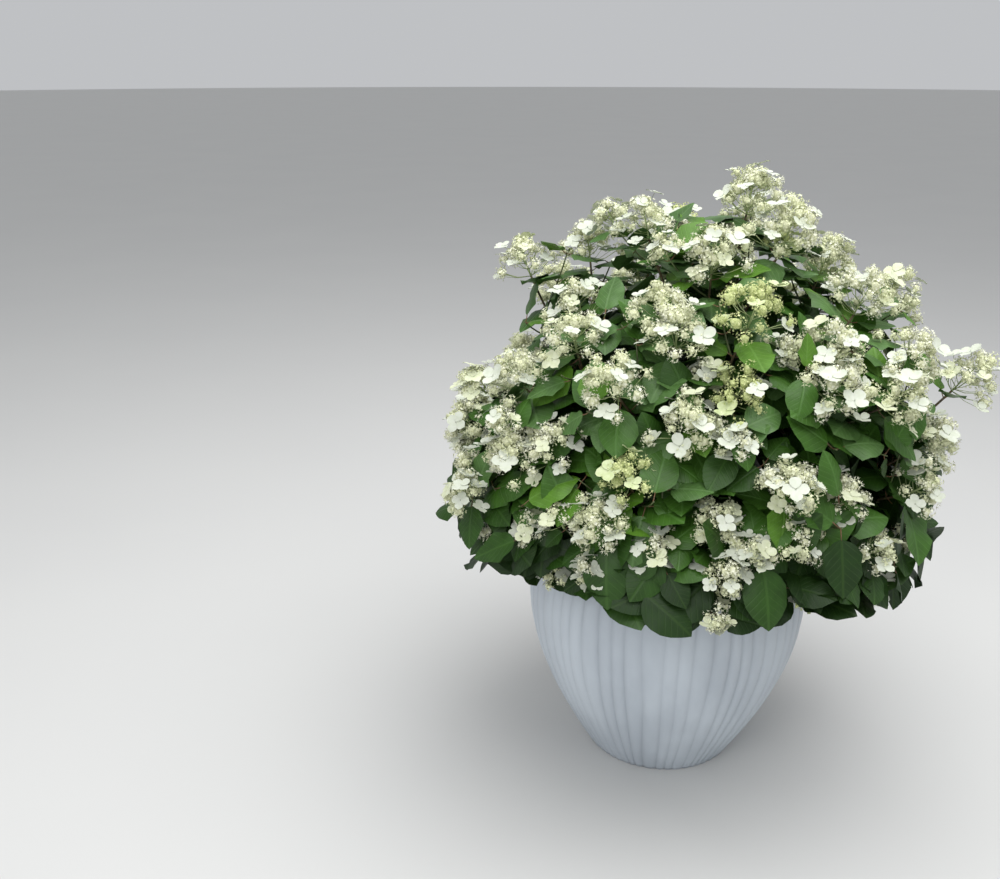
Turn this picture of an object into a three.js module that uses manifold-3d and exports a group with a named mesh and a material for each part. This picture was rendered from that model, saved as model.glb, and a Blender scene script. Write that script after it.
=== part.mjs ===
// A panicle hydrangea in a fluted pot: a shrub of many canes that spring from one short stool.
//
// Each cane (bough) carries one mass of foliage: a stem that parts into shoots by a seeded rule, with pairs
// of leaves along each shoot and a cone of blossom on its end. The masses share the crown between them as
// wedges of directions seen from its heart, so that no two meet.
//
// Millimetres, +Z up. The origin is the middle of the pot's flat underside, and -Y is the front.
import * as THREE from "three";
import { mergeVertices } from "three/addons/utils/BufferGeometryUtils.js";
import Module from "manifold-3d";

const wasm = await Module();
wasm.setup();

// Driving dimensions of the pot and its filling
const POT_HEIGHT = 390;
const POT_FOOT_RADIUS = 140;
const POT_RIM_RADIUS = 246;
const POT_WALL = 10;
const POT_FLOOR = 14;
const POT_BELLY_LOW = 66; // how far the wall's curve is drawn out over its foot
const POT_BELLY_HIGH = 38; // and over its rim
const POT_FLUTES = 56;
const POT_FLUTE_DEPTH = 3.4;
const SOIL_BELOW_RIM = 30;
const SOIL_CLEARANCE = 1; // to the inside of the wall

// Driving dimensions of the woody parts
const STOOL_RADIUS = 36;
const STOOL_HEIGHT = 66;
const BOUGH_FOOT_RADIUS = 6.5;
const BOUGH_TIP_RADIUS = 4.2;
const KNUCKLE_RADIUS = 11; // of the flat knuckle where a mass's stem parts into shoots
const KNUCKLE_DEPTH = 3; // that the shoots are rooted in it
const SHOOT_FOOT_RADIUS = 4.6;
const SHOOT_POINT = 40; // that a shoot tapers on inside its panicle
const SHOOT_SAG = 0.1; // of a shoot's span, midway

// Driving dimensions of the leaves
const LEAF_LENGTH = 128;
const LEAF_WIDTH = 84;
const LEAF_THICKNESS = 2.4;
const LEAF_SPREAD = { least: 0.9, span: 0.22 }; // of their sizes, as shares of the full size
const LEAF_PAIRS = 3;
const LEAF_SHARES = { first: 0.16, span: 0.48, shift: 0.07 }; // of a shoot, where its pairs stand
const LEAF_TRIES = [1, 0.78]; // that a leaf tries in turn, as shares of its size
const LEAF_RISES = [0.5, 0.1, 1]; // how far it leans along its shoot, likewise
const LEAF_SHIFTS = [0, Math.PI / 3, -Math.PI / 3]; // and how far it moves round its shoot
const LEAF_DROOP = 0.15;
const LEAF_OUTWARD = 1.2; // how far its face turns out from the heart, against 1 for up
const LEAF_ROOT = 0.2; // from the middle of its shoot
const LEAF_NECK = 0.08; // of its length, that may lie in the wood

// Driving dimensions of the blossom
const PANICLE_LENGTH = 98;
const PANICLE_RADIUS = 45;
const PANICLE_SPREAD = { least: 0.88, span: 0.2 }; // of their sizes, as shares of the full size
const PANICLE_LOBES = [1.5, 1.25, 1]; // how far the large florets may draw its girth out, as factors
const PANICLE_SEAT = 0.85; // of its length, that lies inside the crown's reach
const PANICLE_LIFT = { up: 0.35, out: 0.5 }; // how far its axis turns from its shoot's line
const PANICLE_OFFSET = new THREE.Vector3(-0.15, 0, -0.26); // of its middle from its shoot, in its radii

// Driving dimensions of the crown
const HEART_HEIGHT = 430; // the point that every wedge of the crown starts from
const FORK_SHARE = 0.4; // of a mass's reach: here its bough ends and its own stem begins
const CROTCH_SHARE = 0.47; // of a mass's reach: here its shoots part
const REACH_LEVEL = 455; // from the heart to the crown's surface, on the level
const REACH_UP = 650; // and straight up
const SHOOTS = 98;
const LOWEST_SHOOT = 3; // degrees above the level, seen from the heart
const CROWN_LEAN = THREE.MathUtils.degToRad(4); // of the ring of shoots towards +X
const BLEND_POWER = 12; // how sharply one mass's swell turns into the next one's
const GAP = 0.3; // between touching pieces
const WEDGE_MARGIN = 1.5; // that each mass keeps from the side of its wedge
const REACH_SPREAD = { least: 0.91, span: 0.1 }; // of the shoots, as shares of the crown's reach
const PULL_STEP = 0.08; // by which a shoot without room is drawn in towards its mass's axis
const PULL_LIMIT = 0.7;
const SEED = 20;
const LEAF_SEED = 2000; // from a shoot's own seed to its leaves'

// Where a tier's boughs leave the stool, in degrees above the level
const TIERS = { low: 8, upper: 48, summit: 88 };

// Each mass: its tier, its bearing (degrees from +X towards +Y), its elevation seen from the heart, and how
// far it swells out past the crown's plain egg shape
const MASSES = [
  { name: "crown_top", tier: "summit", bearing: 340, elevation: 82, swell: 10 },
  { name: "top_left", tier: "upper", bearing: 212, elevation: 57, swell: 8 },
  { name: "top_front", tier: "upper", bearing: 274, elevation: 54, swell: -5 },
  { name: "top_right", tier: "upper", bearing: 331, elevation: 52, swell: 55 },
  { name: "top_back_right", tier: "upper", bearing: 32, elevation: 54, swell: 45 },
  { name: "top_back", tier: "upper", bearing: 93, elevation: 54, swell: 10 },
  { name: "top_back_left", tier: "upper", bearing: 154, elevation: 55, swell: -10 },
  { name: "left", tier: "low", bearing: 225, elevation: 21, swell: -18 },
  { name: "front", tier: "low", bearing: 268, elevation: 19, swell: -14 },
  { name: "front_right", tier: "low", bearing: 309, elevation: 20, swell: 0 },
  { name: "right", tier: "low", bearing: 350, elevation: 22, swell: 50 },
  { name: "back_right", tier: "low", bearing: 34, elevation: 21, swell: 30 },
  { name: "back", tier: "low", bearing: 82, elevation: 20, swell: 10 },
  { name: "back_left", tier: "low", bearing: 132, elevation: 20, swell: -15 },
  { name: "far_left", tier: "low", bearing: 180, elevation: 21, swell: -45 },
];
// Where the crown stands out past its masses' shape, or falls short of it, as it does in the photo
const LOBES = [
  { bearing: 350, elevation: 40, extra: 75 },
  { bearing: 352, elevation: 6, extra: -42 },
  { bearing: 177, elevation: 61, extra: 86 },
  { bearing: 199, elevation: 53, extra: -120 },
  { bearing: 164, elevation: 48, extra: -125 },
  { bearing: 186, elevation: 42, extra: -40 },
  { bearing: 190, elevation: 32, extra: 34 },
  { bearing: 335, elevation: 58, extra: 14 },
  { bearing: 10, elevation: 54, extra: 36 },
  { bearing: 190, elevation: 8, extra: 28 },
  { bearing: 350, elevation: 80, extra: 25 },
];
const LOBE_POWER = 60; // how fast a lobe fades away from its middle

const UP = new THREE.Vector3(0, 0, 1);
const FORWARD = new THREE.Vector3(0, 1, 0);
const SIDEWAYS = new THREE.Vector3(0.9, 0.4, 0.2).normalize(); // a direction that no limb takes
const GOLDEN_TURN = Math.PI * (3 - Math.sqrt(5));
const HEART = new THREE.Vector3(0, 0, HEART_HEIGHT);
const INNER_RINGS = [POT_FLOOR, 0.4 * POT_HEIGHT, 0.75 * POT_HEIGHT, POT_HEIGHT]; // on the inner wall
const SOIL_HEIGHT = POT_HEIGHT - SOIL_BELOW_RIM;
const STOOL_MIDDLE = new THREE.Vector3(0, 0, SOIL_HEIGHT + STOOL_HEIGHT / 2);

/** A seeded stream of numbers between 0 and 1. */
function makeStream(seed) {
  let state = (seed * 7919 + 104729) % 2147483647;
  return () => {
    state = (state * 48271) % 2147483647;
    return state / 2147483647;
  };
}

/** A unit vector at a bearing from +X towards +Y and an elevation above the level, in degrees. */
function direction(bearing, elevation) {
  const b = THREE.MathUtils.degToRad(bearing);
  const e = THREE.MathUtils.degToRad(elevation);
  return new THREE.Vector3(Math.cos(e) * Math.cos(b), Math.cos(e) * Math.sin(b), Math.sin(e));
}

/** The part of a vector that stands square to an axis, as a unit vector. */
function squareTo(vector, axis) {
  return vector.clone().addScaledVector(axis, -vector.dot(axis)).normalize();
}

/** The next number of a stream, laid over a spread that has a least value and a span. */
function drawFrom(stream, spread) {
  return spread.least + spread.span * stream();
}

/** The matrix that takes +Y to a direction at a place, and +Z towards another direction. */
function frameAt(place, along, facing) {
  const normal = squareTo(facing, along);
  const across = new THREE.Vector3().crossVectors(along, normal);
  return new THREE.Matrix4().makeBasis(across, along, normal).setPosition(place);
}

/** Moves each vertex of a geometry to where place(x, y, z, index) says. */
function reshape(geometry, place) {
  const position = geometry.attributes.position;
  for (let i = 0; i < position.count; i++) {
    const moved = place(position.getX(i), position.getY(i), position.getZ(i), i);
    position.setXYZ(i, moved.x, moved.y, moved.z);
  }
  return geometry;
}

/** The corners of a geometry as vectors. */
function cornersOf(geometry) {
  const position = geometry.attributes.position;
  const corner = (_, i) => new THREE.Vector3().fromBufferAttribute(position, i);
  return Array.from({ length: position.count }, corner);
}

/** A closed geometry as a solid. */
function toSolid(geometry) {
  const plain = geometry.clone();
  plain.deleteAttribute("normal");
  plain.deleteAttribute("uv");
  const merged = mergeVertices(plain, 1e-4);
  return new wasm.Manifold(
    new wasm.Mesh({
      numProp: 3,
      vertProperties: merged.attributes.position.array,
      triVerts: new Uint32Array(merged.index.array),
    }),
  );
}

/** The largest body of a solid as a geometry, without loose scraps or sealed hollows. */
function toGeometry(solid) {
  const bodies = solid.decompose().sort((a, b) => b.volume() - a.volume());
  const mesh = bodies[0].getMesh();
  const points = new Float32Array(mesh.numVert * 3);
  for (let i = 0; i < mesh.numVert; i++) {
    points.set(mesh.vertProperties.subarray(i * mesh.numProp, i * mesh.numProp + 3), i * 3);
  }
  const geometry = new THREE.BufferGeometry();
  geometry.setAttribute("position", new THREE.BufferAttribute(points, 3));
  geometry.setIndex(new THREE.BufferAttribute(new Uint32Array(mesh.triVerts), 1));
  geometry.computeVertexNormals();
  return geometry;
}

/** A turned solid that stands on +Z, from a profile of [radius, height] that starts and ends on the axis. */
function turned(profile, sides) {
  const points = profile.map(([radius, height]) => new THREE.Vector2(radius, height));
  return new THREE.LatheGeometry(points, sides).rotateX(Math.PI / 2);
}

/** A limb that tapers along a curve, with flat ends, or with a pointed tip where the tip's radius is 0. */
function limb(curve, footRadius, tipRadius, sides, steps) {
  const geometry = new THREE.CylinderGeometry(tipRadius > 0 ? 1 : 0, 1, 1, sides, steps);
  return reshape(geometry, (x, y, z) => {
    const share = y + 0.5;
    const along = curve.getTangent(share);
    const side = squareTo(SIDEWAYS, along);
    const other = new THREE.Vector3().crossVectors(side, along);
    const radius = footRadius + (tipRadius - footRadius) * share;
    return curve
      .getPoint(share)
      .addScaledVector(side, x * radius)
      .addScaledVector(other, z * radius);
  });
}

/** The outline of the pot's wall, set out or in by an offset, from its foot to its rim. */
function potOutline(offset, steps) {
  const curve = new THREE.CubicBezierCurve(
    new THREE.Vector2(POT_FOOT_RADIUS + offset, 0),
    new THREE.Vector2(POT_FOOT_RADIUS + POT_BELLY_LOW + offset, 0.28 * POT_HEIGHT),
    new THREE.Vector2(POT_RIM_RADIUS + POT_BELLY_HIGH + offset, 0.65 * POT_HEIGHT),
    new THREE.Vector2(POT_RIM_RADIUS + offset, POT_HEIGHT),
  );
  return curve.getPoints(steps).map((point) => [point.x, point.y]);
}

/** The radius of the pot's wall at a height, set out or in by an offset. */
function potRadius(height, offset) {
  const outline = potOutline(offset, 80);
  const next = outline.findIndex(([, h]) => h >= height);
  const [[r0, h0], [r1, h1]] = [outline[next - 1], outline[next]];
  return r0 + ((r1 - r0) * (height - h0)) / (h1 - h0);
}

/** The radius of the pot's inner wall at a height: straight between its rings. */
function innerRadius(height) {
  const next = INNER_RINGS.findIndex((ring) => ring >= height);
  const low = INNER_RINGS[Math.max(next - 1, 0)];
  const high = INNER_RINGS[Math.max(next, 1)];
  const share = (height - low) / (high - low);
  return THREE.MathUtils.lerp(potRadius(low, -POT_WALL), potRadius(high, -POT_WALL), share);
}

/** The fluted pot: a turned shell whose outer wall waves in and out round its girth. */
function makePot() {
  const outer = potOutline(0, 5);
  const inner = INNER_RINGS.map((height) => [innerRadius(height), height]).reverse();
  const profile = [[0, 0], ...outer, ...inner, [0, POT_FLOOR]];
  return reshape(turned(profile, 2 * POT_FLUTES), (x, y, z, index) => {
    const turn = Math.floor(index / profile.length);
    const step = index % profile.length;
    const isFurrow = turn % 2 === 1 && step >= 1 && step <= outer.length;
    const share = isFurrow ? 1 - POT_FLUTE_DEPTH / Math.hypot(x, y) : 1;
    return new THREE.Vector3(x * share, y * share, z);
  });
}

/** The potting mix that fills the pot, clear of its wall and floor. */
function makePottingMix() {
  const floor = POT_FLOOR + GAP;
  const rings = [floor, ...INNER_RINGS.slice(1, -1), SOIL_HEIGHT];
  const wall = rings.map((height) => [innerRadius(height) - SOIL_CLEARANCE, height]);
  return turned([[0, floor], ...wall, [0, SOIL_HEIGHT]], 24);
}

/** The short stool that every bough springs from, from its flat cut on the soil, grown by a margin. */
function makeStool(margin) {
  const flare = 1.25 * STOOL_RADIUS;
  const outline = [
    [flare, 0],
    [0.9 * flare, 0.1],
    [0.86 * STOOL_RADIUS, 0.3],
    [STOOL_RADIUS, 0.55],
    [0.82 * STOOL_RADIUS, 0.82],
    [0.45 * STOOL_RADIUS, 0.97],
  ];
  const grown = outline.map(([radius, share]) => [radius + margin, share * STOOL_HEIGHT]);
  const profile = [[0, -margin], [flare + margin, -margin], ...grown.slice(1), [0, STOOL_HEIGHT + margin]];
  return turned(profile, 10).translate(0, 0, SOIL_HEIGHT + GAP);
}

/** How far the crown reaches from its heart in a direction: an egg shape, with the swells and the lobes. */
function reachTowards(line) {
  const risen = Math.asin(line.z) / (Math.PI / 2);
  const weights = MASSES.map((mass) => Math.max(0, mass.axis.dot(line)) ** BLEND_POWER);
  const total = weights.reduce((sum, weight) => sum + weight);
  const swell = MASSES.reduce((sum, mass, i) => sum + (weights[i] * mass.swell) / total, 0);
  const fade = (lobe) => Math.max(0, lobe.axis.dot(line)) ** LOBE_POWER;
  const extra = LOBES.reduce((sum, lobe) => sum + lobe.extra * fade(lobe), 0);
  return THREE.MathUtils.lerp(REACH_LEVEL, REACH_UP, risen) + swell + extra;
}

/** Gives each lobe its axis, and each mass its axis, reach, borders and empty list of shoots. */
function layOutMasses() {
  for (const lobe of LOBES) {
    lobe.axis = direction(lobe.bearing, lobe.elevation);
  }
  for (const mass of MASSES) {
    mass.axis = direction(mass.bearing, mass.elevation);
    mass.shoots = [];
  }
  for (const mass of MASSES) {
    const others = MASSES.filter((other) => other !== mass);
    mass.borders = others.map((other) => mass.axis.clone().sub(other.axis).normalize());
    mass.reach = reachTowards(mass.axis);
  }
}

/** True if every point is on a mass's own side of each border with another mass. */
function isInWedge(mass, points) {
  return points.every((point) => {
    const fromHeart = point.clone().sub(HEART);
    return mass.borders.every((border) => fromHeart.dot(border) > WEDGE_MARGIN);
  });
}

/**
 * A shoot of a mass that ends in a direction: the bent curve whose end carries its panicle, the straight
 * twig that its wood follows, and its panicle's axis and size.
 */
function makeShoot(mass, line, number) {
  const stream = makeStream(SEED + number);
  const reach = reachTowards(line) * drawFrom(stream, REACH_SPREAD);
  const lean = 1 - mass.axis.dot(line) ** 8;
  const side = squareTo(line, mass.axis).multiplyScalar((lean * KNUCKLE_RADIUS) / 2);
  const crotch = HEART.clone().addScaledVector(mass.axis, CROTCH_SHARE * mass.reach).add(side);
  const tip = HEART.clone().addScaledVector(line, reach - PANICLE_SEAT * PANICLE_LENGTH);
  const bow = crotch.clone().lerp(tip, 0.5).addScaledVector(UP, -SHOOT_SAG * crotch.distanceTo(tip));
  const curve = new THREE.QuadraticBezierCurve3(crotch, bow, tip);
  const axis = curve.getTangent(1);
  axis.addScaledVector(UP, PANICLE_LIFT.up).addScaledVector(line, PANICLE_LIFT.out).normalize();
  const size = drawFrom(stream, PANICLE_SPREAD);
  const point = tip.clone().addScaledVector(tip.clone().sub(crotch).normalize(), SHOOT_POINT);
  return { curve, twig: new THREE.LineCurve3(crotch, point), axis, size, number };
}

/**
 * The panicle on a shoot: a cone of bloom whose girth is drawn out in three lobes by the large florets, each
 * as far as it keeps to the mass's wedge.
 */
function panicleGeometry(mass, shoot) {
  const length = shoot.size * PANICLE_LENGTH;
  const radius = shoot.size * PANICLE_RADIUS;
  const profile = [
    [0, 0],
    [1, 0],
    [0.85, 0.5],
    [0, 1],
  ];
  const points = profile.map(([r, h]) => new THREE.Vector2(r * radius, h * length));
  const frame = frameAt(shoot.curve.getPoint(1), shoot.axis, SIDEWAYS);
  const cone = reshape(new THREE.LatheGeometry(points, 6), (x, y, z, index) => {
    const isLobe = index % profile.length === 1 && Math.floor(index / profile.length) % 2 === 0;
    const drawnOut = (lobe) =>
      new THREE.Vector3(x * lobe, y, z * lobe).addScaledVector(PANICLE_OFFSET, radius);
    const lobes = isLobe ? PANICLE_LOBES : [1];
    const fits = lobes.find((lobe) => isInWedge(mass, [drawnOut(lobe).applyMatrix4(frame)]));
    return drawnOut(fits ?? 1);
  });
  return cone.applyMatrix4(frame);
}

/** Deals the shoots evenly over the crown in a golden-angle spiral, each to the mass that it points to. */
function dealShoots() {
  const low = Math.sin(THREE.MathUtils.degToRad(LOWEST_SHOOT));
  for (let number = 0; number < SHOOTS; number++) {
    const height = 1 - ((number + 0.5) / SHOOTS) * (1 - low);
    const elevation = THREE.MathUtils.radToDeg(Math.asin(height));
    const bearing = THREE.MathUtils.radToDeg(number * GOLDEN_TURN);
    const line = direction(bearing, elevation).applyAxisAngle(FORWARD, CROWN_LEAN);
    const nearer = (best, other) => (other.axis.dot(line) > best.axis.dot(line) ? other : best);
    const mass = MASSES.reduce(nearer);
    for (let pull = 0; pull < PULL_LIMIT; pull += PULL_STEP) {
      const shoot = makeShoot(mass, line.clone().lerp(mass.axis, pull).normalize(), number);
      if (isInWedge(mass, cornersOf(panicleGeometry(mass, shoot)))) {
        mass.shoots.push(shoot);
        break;
      }
    }
  }
}

/** A leaf as a folded lozenge of eight faces, from its root at the origin to its tip along +Y. */
function leafGeometry(root, length, width) {
  const fold = 0.1 * width;
  return reshape(new THREE.OctahedronGeometry(1, 0), (x, y, z) => {
    if (Math.abs(x) > 0.5) return new THREE.Vector3((x * width) / 2, 0.44 * length, fold);
    if (Math.abs(z) > 0.5) return new THREE.Vector3(0, 0.35 * length, (z * LEAF_THICKNESS) / 2);
    return y < 0 ? new THREE.Vector3(0, root * length, 0) : new THREE.Vector3(0, length, -0.12 * length);
  });
}

/** Where leaves stand along a shoot, in pairs, each with its size and the frames that it tries in turn. */
function leafSeats(shoot) {
  const stream = makeStream(SEED + LEAF_SEED + shoot.number);
  const along = shoot.twig.getTangent(0);
  const seats = [];
  for (let pair = 0; pair < LEAF_PAIRS; pair++) {
    const step = LEAF_SHARES.span / (LEAF_PAIRS - 1);
    const place = shoot.twig.getPoint(LEAF_SHARES.first + step * pair + LEAF_SHARES.shift * stream());
    const facing = UP.clone().addScaledVector(place.clone().sub(HEART).normalize(), LEAF_OUTWARD);
    const turn = (Math.floor(6 * stream()) * Math.PI) / 3; // over one of the shoot's flat sides
    for (const half of [0, Math.PI]) {
      const size = drawFrom(stream, LEAF_SPREAD);
      const frames = LEAF_SHIFTS.flatMap((shift) =>
        LEAF_RISES.map((rise) => {
          const line = squareTo(SIDEWAYS, along).applyAxisAngle(along, turn + half + shift);
          line.addScaledVector(along, rise).addScaledVector(UP, -LEAF_DROOP).normalize();
          return frameAt(place.clone().addScaledVector(line, LEAF_ROOT), line, facing);
        }),
      );
      seats.push({ size, frames });
    }
  }
  return seats;
}

/** The first leaf of a seat that finds room: in the wedge, and clear of the limbs, the wood and the rest. */
function findLeaf(seat, mass, guard, wood, soft) {
  for (const share of LEAF_TRIES) {
    const length = share * seat.size * LEAF_LENGTH;
    const width = share * seat.size * LEAF_WIDTH;
    for (const frame of seat.frames) {
      const leaf = leafGeometry(0, length, width).applyMatrix4(frame);
      if (!isInWedge(mass, cornersOf(leaf))) continue;
      const solid = toSolid(leaf);
      const blade = toSolid(leafGeometry(LEAF_NECK, length, width).applyMatrix4(frame));
      const isClear = solid.intersect(guard).isEmpty() && solid.intersect(soft).isEmpty();
      if (isClear && blade.intersect(wood).isEmpty()) return solid;
    }
  }
  return null;
}

/** The line of a mass's bough: out of the stool at its tier's slope, and over to the fork. */
function boughCurve(mass) {
  const leave = direction(mass.bearing, TIERS[mass.tier]);
  const start = STOOL_MIDDLE.clone().addScaledVector(leave, 0.5 * STOOL_RADIUS);
  const fork = HEART.clone().addScaledVector(mass.axis, FORK_SHARE * mass.reach);
  const length = start.distanceTo(fork);
  const middle = start.clone().addScaledVector(leave, 0.4 * length).addScaledVector(UP, 0.1 * length);
  return new THREE.QuadraticBezierCurve3(start, middle, fork);
}

/** A mass's own stem, from just past its bough's tip to the crotch where its shoots part. */
function stemCurve(mass) {
  const bough = boughCurve(mass);
  const tangent = bough.getTangent(1);
  const fork = bough.getPoint(1).addScaledVector(tangent, GAP);
  const crotch = HEART.clone().addScaledVector(mass.axis, CROTCH_SHARE * mass.reach + KNUCKLE_DEPTH);
  const middle = fork.clone().addScaledVector(tangent, 0.5 * fork.distanceTo(crotch));
  return new THREE.QuadraticBezierCurve3(fork, middle, crotch);
}

/** A mass of foliage: its stem and shoots, and the panicles and leaves on them, fused in one solid. */
function makeFoliage(mass, guard) {
  let wood = toSolid(limb(stemCurve(mass), BOUGH_TIP_RADIUS, KNUCKLE_RADIUS, 5, 2));
  let soft = wasm.Manifold.union(mass.shoots.map((shoot) => toSolid(panicleGeometry(mass, shoot))));
  for (const shoot of mass.shoots) {
    wood = wood.add(toSolid(limb(shoot.twig, SHOOT_FOOT_RADIUS, 0, 3, 1)));
  }
  for (const seat of mass.shoots.flatMap(leafSeats)) {
    const leaf = findLeaf(seat, mass, guard, wood, soft);
    if (leaf) soft = soft.add(leaf);
  }
  return toGeometry(wood.add(soft));
}

/** The solids that leaves keep clear of: the pot, the stool and the boughs, all a little grown. */
function makeGuard() {
  const margin = 1;
  const outline = potOutline(2 * margin, 12);
  const rim = POT_HEIGHT + margin;
  const block = turned([[0, -margin], ...outline, [outline.at(-1)[0], rim], [0, rim]], 32);
  let guard = toSolid(block).add(toSolid(makeStool(margin)));
  for (const mass of MASSES) {
    const grown = limb(boughCurve(mass), BOUGH_FOOT_RADIUS + margin, BOUGH_TIP_RADIUS + margin, 5, 3);
    guard = guard.add(toSolid(grown));
  }
  return guard;
}

const MATERIALS = {
  pot: new THREE.MeshStandardMaterial({ color: 0xc3cad0, roughness: 0.55, metalness: 0 }),
  soil: new THREE.MeshStandardMaterial({ color: 0x2e231a, roughness: 0.95, metalness: 0 }),
  bark: new THREE.MeshStandardMaterial({ color: 0x6b5a45, roughness: 0.85, metalness: 0 }),
  foliage: new THREE.MeshStandardMaterial({ color: 0x4f7a3c, roughness: 0.6, metalness: 0 }),
};

/** Adds one named sub-part to the plant. */
function addPart(plant, name, geometry, material) {
  const mesh = new THREE.Mesh(geometry, material);
  mesh.name = name;
  plant.add(mesh);
}

/** The whole plant in its pot. */
function buildPlant() {
  layOutMasses();
  dealShoots();
  const plant = new THREE.Group();
  addPart(plant, "pot", makePot(), MATERIALS.pot);
  addPart(plant, "potting_mix", makePottingMix(), MATERIALS.soil);
  addPart(plant, "trunk_stool", makeStool(0), MATERIALS.bark);
  const stoolRoom = toSolid(makeStool(GAP));
  const guard = makeGuard();
  for (const mass of MASSES) {
    const bough = toSolid(limb(boughCurve(mass), BOUGH_FOOT_RADIUS, BOUGH_TIP_RADIUS, 5, 3));
    addPart(plant, `bough_${mass.name}`, toGeometry(bough.subtract(stoolRoom)), MATERIALS.bark);
    addPart(plant, `foliage_${mass.name}`, makeFoliage(mass, guard), MATERIALS.foliage);
  }
  return plant;
}

export default buildPlant();
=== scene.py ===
"""A panicle hydrangea in full bloom, in its pale fluted pot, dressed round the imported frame.

The crown is dealt by the same seeded rule as its solids: masses that share it as wedges seen from its heart, each
with a stem that parts into shoots, and a panicle on the end of each shoot. The rule is carried on here to side
twigs, leaves on stalks, the branches of each panicle and its florets. Metres, +Z up, -Y towards the camera.
"""

import logging
import math
from dataclasses import dataclass, field
from enum import Enum
from functools import cached_property
from itertools import product

import bmesh
import bpy
import numpy as np
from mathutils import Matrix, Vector, noise


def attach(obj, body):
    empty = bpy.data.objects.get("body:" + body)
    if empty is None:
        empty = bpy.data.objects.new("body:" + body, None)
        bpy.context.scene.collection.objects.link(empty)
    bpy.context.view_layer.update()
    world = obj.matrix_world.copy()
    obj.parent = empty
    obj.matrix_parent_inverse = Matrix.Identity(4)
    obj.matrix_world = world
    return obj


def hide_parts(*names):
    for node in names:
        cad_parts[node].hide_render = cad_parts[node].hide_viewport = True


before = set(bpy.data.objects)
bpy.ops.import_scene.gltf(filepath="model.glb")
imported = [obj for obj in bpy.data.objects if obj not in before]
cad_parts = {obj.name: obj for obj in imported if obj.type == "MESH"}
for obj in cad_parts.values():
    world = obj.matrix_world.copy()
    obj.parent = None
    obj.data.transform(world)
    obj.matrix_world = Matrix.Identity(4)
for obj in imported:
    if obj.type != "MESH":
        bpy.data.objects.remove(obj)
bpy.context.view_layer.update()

log = logging.getLogger("hydrangea")

ROOT_BODY = "root"
BLADE_UV = "blade"
MERGE_DISTANCE = 1e-6
UP = np.array((0.0, 0.0, 1.0))
SIDEWAYS = np.array((0.9, 0.4, 0.2)) / math.sqrt(0.9**2 + 0.4**2 + 0.2**2)  # a direction that no limb takes
GOLDEN_TURN = math.pi * (3 - math.sqrt(5))
Colour = tuple[float, float, float]
Curve = tuple[np.ndarray, np.ndarray, np.ndarray]  # the start, middle control point and end of a quadratic Bezier
Pair = tuple[float, float]
Span = tuple[float, float]  # the least value that is drawn, and how far above it the greatest lies


def unit(vector: np.ndarray) -> np.ndarray:
    """The unit vector, or row of unit vectors, along a vector or a row of them."""
    return vector / np.linalg.norm(vector, axis=-1, keepdims=True)


def square_to(vector: np.ndarray, axis: np.ndarray) -> np.ndarray:
    """The part of a vector that stands square to an axis, as a unit vector; rows of them work too."""
    return unit(vector - np.sum(vector * axis, axis=-1, keepdims=True) * axis)


def direction(bearing: float, elevation: float) -> np.ndarray:
    """A unit vector at a bearing from +X towards +Y and an elevation above the level, in degrees."""
    b, e = math.radians(bearing), math.radians(elevation)
    return np.array((math.cos(e) * math.cos(b), math.cos(e) * math.sin(b), math.sin(e)))


def turn_about(vector: np.ndarray, axis: np.ndarray, angle: float) -> np.ndarray:
    """A vector turned about a unit axis by an angle in radians."""
    across = np.cross(axis, vector)
    return vector * math.cos(angle) + across * math.sin(angle) + axis * np.dot(axis, vector) * (1 - math.cos(angle))


def spoke_about(axis: np.ndarray, angle: float) -> np.ndarray:
    """The unit vector that stands square to a unit axis, turned about it by an angle in radians."""
    side = square_to(SIDEWAYS, axis)
    return side * math.cos(angle) + np.cross(axis, side) * math.sin(angle)


def basis(along: np.ndarray, facing: np.ndarray) -> np.ndarray:
    """The rotation that takes +Y to a unit vector and +Z towards another; its columns are the new X, Y and Z."""
    normal = square_to(facing, along)
    return np.stack((np.cross(along, normal), along, normal), axis=1)


def bezier(points: Curve, shares: np.ndarray) -> np.ndarray:
    """Points along a quadratic Bezier curve.

    Args:
        points: The curve.
        shares: How far along each point lies, from 0 to 1.

    Returns:
        One row for each share.
    """
    t = np.asarray(shares, float)[:, None]
    start, middle, end = points
    return (1 - t) ** 2 * start + 2 * t * (1 - t) * middle + t**2 * end


class Stream:
    """A seeded stream of numbers, the same one that deals the solids."""

    MODULUS = 2147483647
    FACTOR = 48271
    SEED_FACTOR = 7919
    SEED_OFFSET = 104729

    def __init__(self, seed: int) -> None:
        """Starts the stream from its seed."""
        self.state = (seed * self.SEED_FACTOR + self.SEED_OFFSET) % self.MODULUS

    def draw(self, least: float = 0.0, span: float = 1.0) -> float:
        """The next number, between a least value and that value and a span."""
        self.state = self.state * self.FACTOR % self.MODULUS
        return least + span * self.state / self.MODULUS

    def around(self, spread: float) -> np.ndarray:
        """A small vector whose parts each lie within a spread of 0."""
        return np.array([self.draw(-spread, 2 * spread) for _ in range(3)])


class Tier(Enum):
    """Where a tier's boughs leave the stool, in degrees above the level."""

    LOW = 8
    UPPER = 48
    SUMMIT = 88


@dataclass
class Shoot:
    """A shoot of a mass: its bent line, its panicle's axis and size, and its number in the spiral."""

    line: Curve
    axis: np.ndarray
    size: float
    number: int


@dataclass(frozen=True)
class Lobe:
    """Where the crown stands out past its masses' shape, or falls short of it, in metres."""

    bearing: float
    elevation: float
    extra: float


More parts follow.
